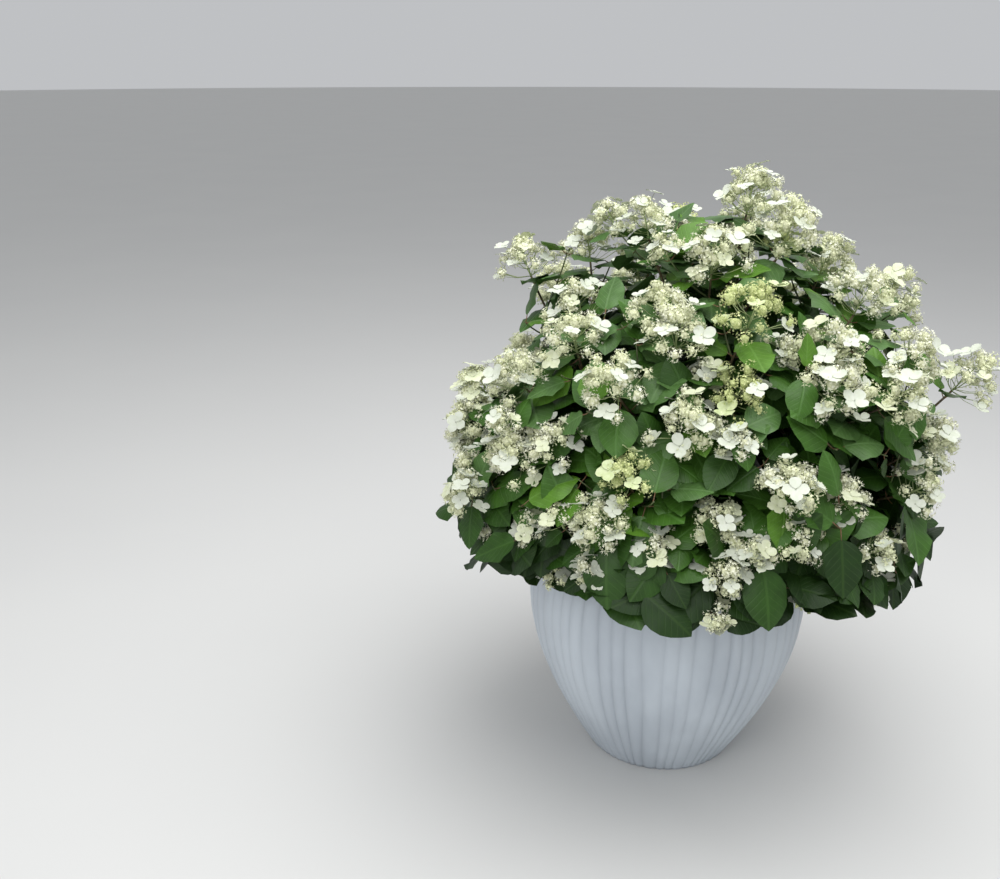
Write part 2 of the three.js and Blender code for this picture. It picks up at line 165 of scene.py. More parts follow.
@dataclass
class Mass:
    """One mass of the crown, which keeps to its own wedge of directions; its swell adds to the plain egg shape."""

    name: str
    tier: Tier
    bearing: float
    elevation: float
    swell: float
    axis: np.ndarray = field(default_factory=lambda: UP)
    borders: np.ndarray = field(default_factory=lambda: np.zeros((0, 3)))
    reach: float = 0.0
    shoots: list[Shoot] = field(default_factory=list)


def crown_masses() -> list[Mass]:
    """Lists the masses of the crown, with their bearings, elevations and swells.

    Returns:
        The masses, not laid out yet.
    """
    return [
        Mass("crown_top", Tier.SUMMIT, 340, 82, 0.010),
        Mass("top_left", Tier.UPPER, 212, 57, 0.008),
        Mass("top_front", Tier.UPPER, 274, 54, -0.005),
        Mass("top_right", Tier.UPPER, 331, 52, 0.055),
        Mass("top_back_right", Tier.UPPER, 32, 54, 0.045),
        Mass("top_back", Tier.UPPER, 93, 54, 0.010),
        Mass("top_back_left", Tier.UPPER, 154, 55, -0.010),
        Mass("left", Tier.LOW, 225, 21, -0.018),
        Mass("front", Tier.LOW, 268, 19, -0.014),
        Mass("front_right", Tier.LOW, 309, 20, 0.0),
        Mass("right", Tier.LOW, 350, 22, 0.050),
        Mass("back_right", Tier.LOW, 34, 21, 0.030),
        Mass("back", Tier.LOW, 82, 20, 0.010),
        Mass("back_left", Tier.LOW, 132, 20, -0.015),
        Mass("far_left", Tier.LOW, 180, 21, -0.045),
    ]


def crown_lobes() -> list[Lobe]:
    """Lists the lobes and hollows that show in the photo's outline of the crown.

    Returns:
        The lobes, and the hollows as lobes that reach inwards.
    """
    forms = ((350, 40, 0.075), (352, 6, -0.042), (177, 61, 0.086), (199, 53, -0.120), (164, 48, -0.125),
             (186, 42, -0.040), (190, 32, 0.034), (335, 58, 0.014), (10, 54, 0.036), (190, 8, 0.028),
             (350, 80, 0.025))
    return [Lobe(*form) for form in forms]


@dataclass
class Crown:
    """The rule that deals the crown's limbs and shoots, with its sizes."""

    heart: np.ndarray = field(default_factory=lambda: np.array((0.0, 0.0, 0.430)))
    soil_height: float = 0.360
    stool_radius: float = 0.036
    stool_height: float = 0.066
    knuckle_radius: float = 0.011
    fork_share: float = 0.4
    crotch_share: float = 0.47
    stem_gap: float = 0.003
    reach_level: float = 0.455
    reach_up: float = 0.650
    shoots: int = 98
    lowest_shoot: float = 3.0
    lean: float = 4.0
    blend_power: int = 12
    lobe_power: int = 60
    fan_power: int = 8
    wedge_margin: float = 0.0015
    draw_in: float = 0.08
    draw_in_steps: int = 9
    panicle_length: float = 0.098
    panicle_radius: float = 0.045
    panicle_seat: float = 0.85
    panicle_reaches: Span = (0.91, 0.1)
    panicle_sizes: Span = (0.88, 0.2)
    bow_sag: float = 0.1
    axis_rise: float = 0.35
    axis_flare: float = 0.5
    bough_root: float = 0.5
    bough_leave: float = 0.4
    bough_lift: float = 0.1
    stem_leave: float = 0.5
    cone_sides: int = 6
    cone_waist: Pair = (0.85, 0.5)
    cone_offset: tuple[float, float, float] = (-0.15, 0.0, -0.26)
    cone_lobes: tuple[float, ...] = (1.5, 1.25, 1.0)
    seed: int = 20
    masses: list[Mass] = field(default_factory=crown_masses)
    lobes: list[Lobe] = field(default_factory=crown_lobes)

    def lay_out(self) -> None:
        """Gives each mass its axis, its borders with the others and its reach."""
        for mass in self.masses:
            mass.axis = direction(mass.bearing, mass.elevation)
        self.axes = np.array([mass.axis for mass in self.masses])
        self.swells = np.array([mass.swell for mass in self.masses])
        self.lobe_axes = np.array([direction(lobe.bearing, lobe.elevation) for lobe in self.lobes])
        self.lobe_extras = np.array([lobe.extra for lobe in self.lobes])
        for mass in self.masses:
            others = [other.axis for other in self.masses if other is not mass]
            mass.borders = unit(mass.axis - np.array(others))
            mass.reach = float(self.reach_towards(mass.axis[None])[0])

    def reach_towards(self, lines: np.ndarray) -> np.ndarray:
        """How far the crown reaches from its heart: an egg shape, the masses' swell and the lobes.

        Args:
            lines: Rows of unit vectors.

        Returns:
            One distance for each row.
        """
        risen = np.arcsin(np.clip(lines[:, 2], -1, 1)) / (math.pi / 2)
        weights = np.maximum(0, lines @ self.axes.T) ** self.blend_power
        total = np.maximum(weights.sum(axis=1), 1e-12)
        extra = np.maximum(0, lines @ self.lobe_axes.T) ** self.lobe_power @ self.lobe_extras
        egg = self.reach_level + (self.reach_up - self.reach_level) * risen
        return egg + weights @ self.swells / total + extra

    def is_in_wedge(self, mass: Mass, points: np.ndarray, margin: float) -> bool:
        """True if every point is on a mass's own side of each border, by a margin that may be negative."""
        return bool(np.all((points - self.heart) @ mass.borders.T > margin))

    def is_in_reach(self, points: np.ndarray, share: float) -> bool:
        """Looks whether points lie within the crown's outline, drawn in or let out.

        Args:
            points: Rows of points.
            share: How much of the crown's reach they may take up.

        Returns:
            True if every point keeps to it.
        """
        from_heart = points - self.heart
        distance = np.linalg.norm(from_heart, axis=1)
        return bool(np.all(distance < share * self.reach_towards(from_heart / distance[:, None])))

    def depth_of(self, point: np.ndarray) -> float:
        """How far out a point lies from the heart, as a share of the crown's reach in its direction."""
        distance = float(np.linalg.norm(point - self.heart))
        return distance / float(self.reach_towards(((point - self.heart) / distance)[None])[0])

    def make_shoot(self, mass: Mass, line: np.ndarray, number: int) -> Shoot:
        """A shoot of a mass that ends in a direction.

        Args:
            mass: The mass that it belongs to.
            line: The direction of its end from the crown's heart.
            number: Its place in the spiral, which also seeds it.

        Returns:
            The shoot.
        """
        stream = Stream(self.seed + number)
        reach = float(self.reach_towards(line[None])[0]) * stream.draw(*self.panicle_reaches)
        lean = 1 - np.dot(mass.axis, line) ** self.fan_power
        side = square_to(line, mass.axis) * (lean * self.knuckle_radius / 2)
        crotch = self.heart + mass.axis * self.crotch_share * mass.reach + side
        tip = self.heart + line * (reach - self.panicle_seat * self.panicle_length)
        bow = (crotch + tip) / 2 - UP * self.bow_sag * np.linalg.norm(tip - crotch)
        axis = unit(unit(tip - bow) + UP * self.axis_rise + line * self.axis_flare)
        return Shoot((crotch, bow, tip), axis, stream.draw(*self.panicle_sizes), number)

    def panicle_corners(self, mass: Mass, shoot: Shoot) -> np.ndarray:
        """The corners of the six-sided cone that stands for a shoot's panicle among the solids.

        Args:
            mass: The mass that keeps it.
            shoot: The shoot that carries it.

        Returns:
            One row for each corner.
        """
        radius = shoot.size * self.panicle_radius
        length = shoot.size * self.panicle_length
        turn = basis(shoot.axis, SIDEWAYS)
        offset = np.array(self.cone_offset) * radius
        waist_radius, waist_height = self.cone_waist
        corners = [np.zeros(3), np.array((0.0, length, 0.0))]
        for column in range(self.cone_sides):
            angle = column * 2 * math.pi / self.cone_sides
            spoke = np.array((math.sin(angle), 0.0, math.cos(angle))) * radius
            corners.append(waist_radius * spoke + np.array((0.0, waist_height * length, 0.0)))
            lobes = self.cone_lobes if column % 2 == 0 else self.cone_lobes[-1:]
            tries = [turn @ (spoke * lobe + offset) + shoot.line[2] for lobe in lobes]
            fits = [lobe for lobe, point in zip(lobes, tries)
                    if self.is_in_wedge(mass, point[None], self.wedge_margin)]
            corners.append(spoke * (fits[0] if fits else 1.0))
        return (np.array(corners) + offset) @ turn.T + shoot.line[2]

    def deal_shoots(self) -> None:
        """Deals the shoots evenly over the crown in a golden-angle spiral, each to the mass that it points to."""
        low = math.sin(math.radians(self.lowest_shoot))
        for number in range(self.shoots):
            height = 1 - ((number + 0.5) / self.shoots) * (1 - low)
            level = direction(math.degrees(number * GOLDEN_TURN), math.degrees(math.asin(height)))
            line = turn_about(level, np.array((0.0, 1.0, 0.0)), math.radians(self.lean))
            mass = self.masses[int(np.argmax(self.axes @ line))]
            for step in range(self.draw_in_steps):
                drawn_in = unit(line + (mass.axis - line) * self.draw_in * step)
                shoot = self.make_shoot(mass, drawn_in, number)
                if self.is_in_wedge(mass, self.panicle_corners(mass, shoot), self.wedge_margin):
                    mass.shoots.append(shoot)
                    break

    def bough_line(self, mass: Mass) -> Curve:
        """The curve of a mass's bough: out of the stool at its tier's slope, and over to the fork.

        Args:
            mass: The mass that the bough carries.

        Returns:
            The curve.
        """
        leave = direction(mass.bearing, mass.tier.value)
        start = UP * (self.soil_height + self.stool_height / 2) + leave * self.bough_root * self.stool_radius
        fork = self.heart + mass.axis * self.fork_share * mass.reach
        length = np.linalg.norm(fork - start)
        return start, start + (leave * self.bough_leave + UP * self.bough_lift) * length, fork

    def stem_line(self, mass: Mass) -> Curve:
        """The curve of a mass's own stem, from its bough's tip to the crotch where its shoots part.

        Args:
            mass: The mass.

        Returns:
            The curve.
        """
        _, middle, fork = self.bough_line(mass)
        crotch = self.heart + mass.axis * (self.crotch_share * mass.reach + self.stem_gap)
        return fork, fork + unit(fork - middle) * self.stem_leave * np.linalg.norm(crotch - fork), crotch


@dataclass
class Chunk:
    """Triangles that are ready to join: corners, faces, a finish for each face and a UV for each face's corner."""

    corners: np.ndarray
    faces: np.ndarray
    tints: np.ndarray
    uvs: np.ndarray


@dataclass
class Template:
    """A small shape that is repeated many times."""

    corners: np.ndarray
    faces: np.ndarray
    uvs: np.ndarray

    @classmethod
    def from_bmesh(cls, bm: bmesh.types.BMesh) -> "Template":
        """Reads a finished bmesh, with its UV layer if it has one, and frees it.

        Args:
            bm: The mesh.

        Returns:
            Its shape in triangles.
        """
        bmesh.ops.triangulate(bm, faces=bm.faces[:])
        layer = bm.loops.layers.uv.active
        corners = np.array([vert.co[:] for vert in bm.verts])
        bm.verts.index_update()
        faces = np.array([[loop.vert.index for loop in face.loops] for face in bm.faces])
        uvs = np.array([[loop[layer].uv[:] if layer else (0.0, 0.0) for loop in face.loops] for face in bm.faces])
        bm.free()
        return cls(corners, faces, uvs)

    def copies(self, turns: np.ndarray, places: np.ndarray, tints: np.ndarray) -> Chunk:
        """Copies of the shape, each turned, scaled and placed.

        Args:
            turns: One 3 by 3 matrix for each copy.
            places: One point for each copy.
            tints: The number of each copy's finish.

        Returns:
            The copies as one chunk.
        """
        count = len(places)
        corners = np.einsum("cij,vj->cvi", turns, self.corners) + places[:, None]
        offsets = np.arange(count)[:, None, None] * len(self.corners)
        faces = (self.faces[None] + offsets).reshape(-1, 3)
        uvs = np.broadcast_to(self.uvs, (count, *self.uvs.shape)).reshape(-1, 3, 2)
        return Chunk(corners.reshape(-1, 3), faces, np.repeat(tints, len(self.faces)), uvs)


class Scatter:
    """Gathers copies of a few templates, to be joined as one piece."""

    def __init__(self, templates: list[Template]) -> None:
        """Starts with no copies."""
        self.templates = templates
        self.copies: list[list[tuple[np.ndarray, np.ndarray, int]]] = [[] for _ in templates]

    def add(self, which: int, turn: np.ndarray, place: np.ndarray, tint: "Tint") -> None:
        """Adds a copy of one of the templates, turned, placed and in its colour."""
        self.copies[which].append((turn, place, tint.number))

    def pick(self, stream: Stream) -> int:
        """Draws the number of one of the templates."""
        return int(stream.draw(0, len(self.templates) - 0.001))

    def chunks(self) -> list[Chunk]:
        """The copies of each template that was used."""
        return [template.copies(*(np.array(parts) for parts in zip(*copies)))
                for template, copies in zip(self.templates, self.copies) if copies]


class Tubes:
    """Gathers thin tapering tubes along lines of points, to be joined as one piece."""

    def __init__(self) -> None:
        """Starts with no tubes."""
        self.groups: dict[tuple[int, int], list[tuple[np.ndarray, np.ndarray, int]]] = {}

    def add(self, points: np.ndarray, radii: np.ndarray, sides: int, tint: "Tint") -> None:
        """Adds a tube along rows of points, with its radius at each of them, its number of sides and its colour."""
        self.groups.setdefault((len(points), sides), []).append((points, np.asarray(radii), tint.number))

    def chunks(self) -> list[Chunk]:
        """The tubes of each number of steps and sides."""
        return [self._chunk(steps, sides, tubes) for (steps, sides), tubes in self.groups.items()]

    @staticmethod
    def _chunk(steps: int, sides: int, tubes: list[tuple[np.ndarray, np.ndarray, int]]) -> Chunk:
        """Joins the tubes of one kind, with closed ends.

        Args:
            steps: How many rings of corners each has.
            sides: How many sides each has.
            tubes: The points, radii and colour of each.

        Returns:
            The tubes as one chunk.
        """
        points, radii, tints = (np.array(parts) for parts in zip(*tubes))
        along = unit(np.gradient(points, axis=1))
        side = square_to(np.broadcast_to(SIDEWAYS, along.shape), along)
        other = np.cross(along, side)
        angles = np.arange(sides) * 2 * math.pi / sides
        spokes = side[:, :, None] * np.cos(angles)[:, None] + other[:, :, None] * np.sin(angles)[:, None]
        rings = points[:, :, None] + spokes * radii[:, :, None, None]
        faces = []
        for step in range(steps - 1):
            for s in range(sides):
                low = step * sides + s
                low_next = step * sides + (s + 1) % sides
                faces += [(low, low_next, low_next + sides), (low, low_next + sides, low + sides)]
        last = (steps - 1) * sides
        for s in range(1, sides - 1):
            faces += [(0, s + 1, s), (last, last + s, last + s + 1)]
        offsets = np.arange(len(tubes))[:, None, None] * steps * sides
        all_faces = (np.array(faces)[None] + offsets).reshape(-1, 3)
        return Chunk(rings.reshape(-1, 3), all_faces, np.repeat(tints, len(faces)), np.zeros((len(all_faces), 3, 2)))


def add_piece(name: str, mesh: bpy.types.Mesh, materials: list[bpy.types.Material]) -> bpy.types.Object:
    """Adds a finished mesh to the scene as a smooth piece at the origin.

    Args:
        name: The piece's name.
        mesh: Its mesh.
        materials: Its finishes, in the order that its faces count in.

    Returns:
        The object.
    """
    mesh.polygons.foreach_set("use_smooth", np.ones(len(mesh.polygons), dtype=bool))
    for material in materials:
        mesh.materials.append(material)
    piece = bpy.data.objects.new(name, mesh)
    bpy.context.scene.collection.objects.link(piece)
    return piece


def join(name: str, chunks: list[Chunk], materials: list[bpy.types.Material]) -> bpy.types.Object:
    """Joins chunks of triangles as one object.

    Args:
        name: The piece's name.
        chunks: The triangles.
        materials: The finishes that the chunks' tints count in.

    Returns:
        The object, at the origin.
    """
    starts = np.cumsum([0] + [len(chunk.corners) for chunk in chunks])
    corners = np.concatenate([chunk.corners for chunk in chunks])
    faces = np.concatenate([chunk.faces + start for chunk, start in zip(chunks, starts)])
    tints = np.concatenate([chunk.tints for chunk in chunks])
    uvs = np.concatenate([chunk.uvs for chunk in chunks])
    mesh = bpy.data.meshes.new(name)
    mesh.vertices.add(len(corners))
    mesh.vertices.foreach_set("co", corners.astype(np.float32).ravel())
    mesh.loops.add(faces.size)
    mesh.loops.foreach_set("vertex_index", faces.astype(np.int32).ravel())
    mesh.polygons.add(len(faces))
    mesh.polygons.foreach_set("loop_start", np.arange(len(faces), dtype=np.int32) * 3)
    mesh.polygons.foreach_set("material_index", tints.astype(np.int32))
    mesh.uv_layers.new(name=BLADE_UV).data.foreach_set("uv", uvs.astype(np.float32).ravel())
    mesh.update()
    mesh.validate()
    return add_piece(name, mesh, materials)


def piece_from_bmesh(name: str, bm: bmesh.types.BMesh, material: bpy.types.Material) -> bpy.types.Object:
    """An object from a finished bmesh, which it frees.

    Args:
        name: The piece's name.
        bm: The mesh.
        material: Its finish.

    Returns:
        The object, at the origin.
    """
    mesh = bpy.data.meshes.new(name)
    bm.to_mesh(mesh)
    bm.free()
    return add_piece(name, mesh, [material])


def turn_profile(bm: bmesh.types.BMesh, profile: list[Pair], steps: int) -> None:
    """Turns a profile about the upright axis, with its seam and poles closed.

    Args:
        bm: The empty mesh that it fills.
        profile: The radius and height of each of its points.
        steps: How many steps it is turned in.
    """
    verts = [bm.verts.new((radius, 0.0, height)) for radius, height in profile]
    edges = [bm.edges.new(pair) for pair in zip(verts, verts[1:])]
    bmesh.ops.spin(bm, geom=verts + edges, axis=(0, 0, 1), cent=(0, 0, 0), angle=2 * math.pi, steps=steps,
                   use_merge=True)
    bmesh.ops.remove_doubles(bm, verts=bm.verts[:], dist=MERGE_DISTANCE)


def stand_in(piece: bpy.types.Object, slot: str, *nodes: str) -> None:
    """Makes a piece ride with the plant, in the place of some of its solids, and reports it.

    Args:
        piece: The finished piece.
        slot: The name of a material slot; not used.
        nodes: The solids that it replaces.
    """
    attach(piece, ROOT_BODY)
    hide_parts(*nodes)
    log.info("%s: %d faces", piece.name, len(piece.data.polygons))


class Graph:
    """A material's node tree, with short ways to add to it."""

    def __init__(self, name: str) -> None:
        """Starts a material with its shader.

        Args:
            name: The material's name.
        """
        self.material = bpy.data.materials.new(name)
        self.material.use_nodes = True
        self.tree = self.material.node_tree
        self.shader = self.tree.nodes["Principled BSDF"]

    def node(self, kind: str, **settings: object) -> bpy.types.Node:
        """Adds a node.

        Args:
            kind: Its type.
            settings: What its own properties are set to.

        Returns:
            The node.
        """
        node = self.tree.nodes.new(kind)
        for name, value in settings.items():
            setattr(node, name, value)
        return node

    def link(self, source: bpy.types.NodeSocket, target: bpy.types.NodeSocket) -> None:
        """Links two sockets."""
        self.tree.links.new(source, target)

    def math(self, operation: str, *values: bpy.types.NodeSocket | float) -> bpy.types.NodeSocket:
        """Adds a Math node.

        Args:
            operation: What it works out.
            values: Its inputs, each a socket or a number.

        Returns:
            Its output.
        """
        node = self.node("ShaderNodeMath", operation=operation)
        for socket, value in zip(node.inputs, values):
            if isinstance(value, bpy.types.NodeSocket):
                self.link(value, socket)
            else:
                socket.default_value = value
        return node.outputs[0]

    def noise(self, scale: float, detail: float, stretch: tuple[float, float, float] = (1, 1, 1),
              ) -> bpy.types.NodeSocket:
        """Noise on the piece's own coordinates.

        Args:
            scale: How fine it is, per metre.
            detail: How many finer layers it has.
            stretch: The factor on each axis.

        Returns:
            Its value.
        """
        coordinates = self.node("ShaderNodeTexCoord")
        mapping = self.node("ShaderNodeMapping")
        mapping.inputs["Scale"].default_value = stretch
        texture = self.node("ShaderNodeTexNoise")
        texture.inputs["Scale"].default_value = scale
        texture.inputs["Detail"].default_value = detail
        self.link(coordinates.outputs["Object"], mapping.inputs["Vector"])
        self.link(mapping.outputs["Vector"], texture.inputs["Vector"])
        return texture.outputs["Fac"]

    def ramp(self, value: bpy.types.NodeSocket, low: float, high: float) -> bpy.types.NodeSocket:
        """Spreads a value over 0 to 1, with soft ends.

        Args:
            value: The value.
            low: Where it becomes 0.
            high: Where it becomes 1.

        Returns:
            The spread value.
        """
        node = self.node("ShaderNodeMapRange", interpolation_type="SMOOTHSTEP")
        node.inputs["From Min"].default_value = low
        node.inputs["From Max"].default_value = high
        self.link(value, node.inputs["Value"])
        return node.outputs["Result"]

    def mix(self, share: bpy.types.NodeSocket, low: Colour | bpy.types.NodeSocket,
            high: Colour) -> bpy.types.NodeSocket:
        """Mixes two colours.

        Args:
            share: How much of the second there is.
            low: The first, a colour or a socket.
            high: The second.

        Returns:
            The mixed colour.
        """
        node = self.node("ShaderNodeMix", data_type="RGBA")
        self.link(share, node.inputs["Factor"])
        if isinstance(low, bpy.types.NodeSocket):
            self.link(low, node.inputs["A"])
        else:
            node.inputs["A"].default_value = (*low, 1.0)
        node.inputs["B"].default_value = (*high, 1.0)
        return node.outputs["Result"]

    def bump(self, height: bpy.types.NodeSocket, strength: float, distance: float) -> None:
        """Lays a relief on the shader.

        Args:
            height: Its height.
            strength: How much of it shows.
            distance: Its depth in metres.
        """
        node = self.node("ShaderNodeBump")
        node.inputs["Strength"].default_value = strength
        node.inputs["Distance"].default_value = distance
        self.link(height, node.inputs["Height"])
        self.link(node.outputs["Normal"], self.shader.inputs["Normal"])

    def skin(self, colour: bpy.types.NodeSocket, roughness: float, specular: float = 0.5) -> None:
        """Gives the shader its colour and its gloss.

        Args:
            colour: The colour.
            roughness: How matt it is.
            specular: How strongly it shines.
        """
        self.link(colour, self.shader.inputs["Base Color"])
        self.shader.inputs["Roughness"].default_value = roughness
        self.shader.inputs["Specular IOR Level"].default_value = specular


@dataclass(frozen=True)
class LeafFinish:
    """A leaf's skin: satin, with a paler midrib and side veins that are pressed into it."""

    name: str
    blade: Colour
    vein: Colour
    roughness: float
    side_veins: float = 7.5
    vein_slope: float = 0.9
    midrib_edges: Pair = (0.008, 0.035)
    side_vein_edges: Pair = (0.02, 0.13)
    mottle: float = 30.0
    mottle_bounds: Pair = (0.3, 0.75)
    side_vein_share: float = 0.55
    vein_share: float = 0.44
    shade: float = 0.68
    specular: float = 0.3
    relief: float = 0.0008

    def build(self) -> bpy.types.Material:
        """Makes the material, whose veins follow the blade's own UV.

        Returns:
            The material.
        """
        graph = Graph(self.name)
        coordinates = graph.node("ShaderNodeUVMap", uv_map=BLADE_UV)
        parts = graph.node("ShaderNodeSeparateXYZ")
        graph.link(coordinates.outputs["UV"], parts.inputs["Vector"])
        aside = graph.math("ABSOLUTE", graph.math("SUBTRACT", parts.outputs["X"], 0.5))
        midrib = graph.math("SUBTRACT", 1.0, graph.ramp(aside, *self.midrib_edges))
        climbed = graph.math("SUBTRACT", parts.outputs["Y"], graph.math("MULTIPLY", aside, self.vein_slope))
        wave = graph.math("PINGPONG", graph.math("MULTIPLY", climbed, self.side_veins), 0.5)
        ribs = graph.math("SUBTRACT", 1.0, graph.ramp(wave, *self.side_vein_edges))
        veins = graph.math("MAXIMUM", midrib, graph.math("MULTIPLY", ribs, self.side_vein_share))
        mottle = graph.ramp(graph.noise(self.mottle, 3), *self.mottle_bounds)
        blade = graph.mix(mottle, tuple(part * self.shade for part in self.blade), self.blade)
        veined = graph.mix(graph.math("MULTIPLY", veins, self.vein_share), blade, self.vein)
        graph.skin(veined, self.roughness, self.specular)
        graph.bump(graph.math("SUBTRACT", 1.0, veins), 0.5, self.relief)
        return graph.material


@dataclass(frozen=True)
class PetalFinish:
    """A petal's or floret's skin: matt and faintly mottled."""

    name: str
    base: Colour
    shade: Colour
    roughness: float = 0.6
    mottle: float = 120.0
    relief: float = 0.2
    grain: float = 400.0
    specular: float = 0.25
    mottle_bounds: Pair = (0.25, 0.7)
    depth: float = 0.002

    def build(self) -> bpy.types.Material:
        """Makes the material.

        Returns:
            The material.
        """
        graph = Graph(self.name)
        mottle = graph.ramp(graph.noise(self.mottle, 2), *self.mottle_bounds)
        graph.skin(graph.mix(mottle, self.shade, self.base), self.roughness, self.specular)
        graph.bump(graph.noise(self.grain, 2), self.relief, self.depth * self.relief)
        return graph.material


@dataclass(frozen=True)
class GrainFinish:
    """A grained skin, as of a stem or of crumbs: two colours dealt by a noise that is its relief too."""

    name: str
    base: Colour
    shade: Colour
    roughness: float = 0.6
    depth: float = 0.0006
    strength: float = 0.6
    scale: float = 140.0
    detail: float = 5.0
    stretch: tuple[float, float, float] = (1, 1, 0.18)
    bounds: Pair = (0.35, 0.62)

    def build(self) -> bpy.types.Material:
        """Makes the material.

        Returns:
            The material.
        """
        graph = Graph(self.name)
        grain = graph.noise(self.scale, self.detail, self.stretch)
        graph.skin(graph.mix(graph.ramp(grain, *self.bounds), self.shade, self.base), self.roughness)
        graph.bump(grain, self.strength, self.depth)
        return graph.material


@dataclass(frozen=True)
class PotFinish:
    """The pot's skin: a satin glaze with painted shade that darkens it a little in the furrows, with faint clouds and
    fine pits.
    """

    name: str = "pot_glaze"
    ridge: Colour = (0.555, 0.61, 0.665)
    # painted shade: the colour that the glaze darkens towards in the furrows
    furrow: Colour = (0.24, 0.27, 0.31)
    cloud: Colour = (0.47, 0.52, 0.575)
    furrow_shade_share: float = 0.45
    furrow_shade_power: float = 1.5
    cloud_scale: float = 9.0
    cloud_stretch: tuple[float, float, float] = (1, 1, 0.6)
    cloud_bounds: Pair = (0.35, 0.7)
    roughness: float = 0.4
    cloud_roughness: float = 0.1
    specular: float = 0.4
    pit_scale: float = 260.0
    streak_scale: float = 40.0
    streak_stretch: tuple[float, float, float] = (1, 1, 0.4)
    relief: float = 0.22
    pit_depth: float = 0.0008

    def build(self) -> bpy.types.Material:
        """Makes the material, which reads the furrows' depth from the pot's mesh to paint shade into them.

        Returns:
            The material.
        """
        graph = Graph(self.name)
        depth = graph.node("ShaderNodeAttribute", attribute_name=Pot.FURROW)
        clouds = graph.ramp(graph.noise(self.cloud_scale, 4, self.cloud_stretch), *self.cloud_bounds)
        # painted shade, stronger where the furrow is deeper
        shade = graph.math("MULTIPLY", graph.math("POWER", depth.outputs["Fac"], self.furrow_shade_power),
                           self.furrow_shade_share)
        glaze = graph.mix(shade, graph.mix(clouds, self.cloud, self.ridge), self.furrow)
        graph.skin(glaze, self.roughness, self.specular)
        graph.link(graph.math("ADD", graph.math("MULTIPLY", clouds, self.cloud_roughness), self.roughness),
                   graph.shader.inputs["Roughness"])
        grain = graph.math("ADD", graph.noise(self.pit_scale, 4),
                           graph.noise(self.streak_scale, 3, self.streak_stretch))
        graph.bump(grain, self.relief, self.pit_depth)
        return graph.material


@dataclass(frozen=True)
class FloorFinish:
    """The plain pale floor."""

    name: str = "pale_floor"
    base: Colour = (0.66, 0.66, 0.645)
    shade: Colour = (0.63, 0.63, 0.62)
    roughness: float = 0.85
    specular: float = 0.2

    def build(self) -> bpy.types.Material:
        """Makes the material.

        Returns:
            The material.
        """
        graph = Graph(self.name)
        graph.skin(graph.mix(graph.noise(1.5, 3), self.shade, self.base), self.roughness, self.specular)
        return graph.material


def lumps(place: Vector, *layers: Pair) -> float:
    """Layers of noise at a place, each with its height in metres and how fine it is, per metre."""
    return sum(height * noise.noise(place * fineness) for height, fineness in layers)


@dataclass(frozen=True)
class Wave:
    """A wave round the pot: its height, how often it goes round, how it turns as the wall rises, and its start."""

    height: float
    times: int
    climb: float = 0.0
    start: float = 0.0

    def at(self, bearing: float, rise: float) -> float:
        """Its value at a bearing in radians and a share of the wall's height."""
        return self.height * math.sin(self.times * bearing + self.climb * rise + self.start)


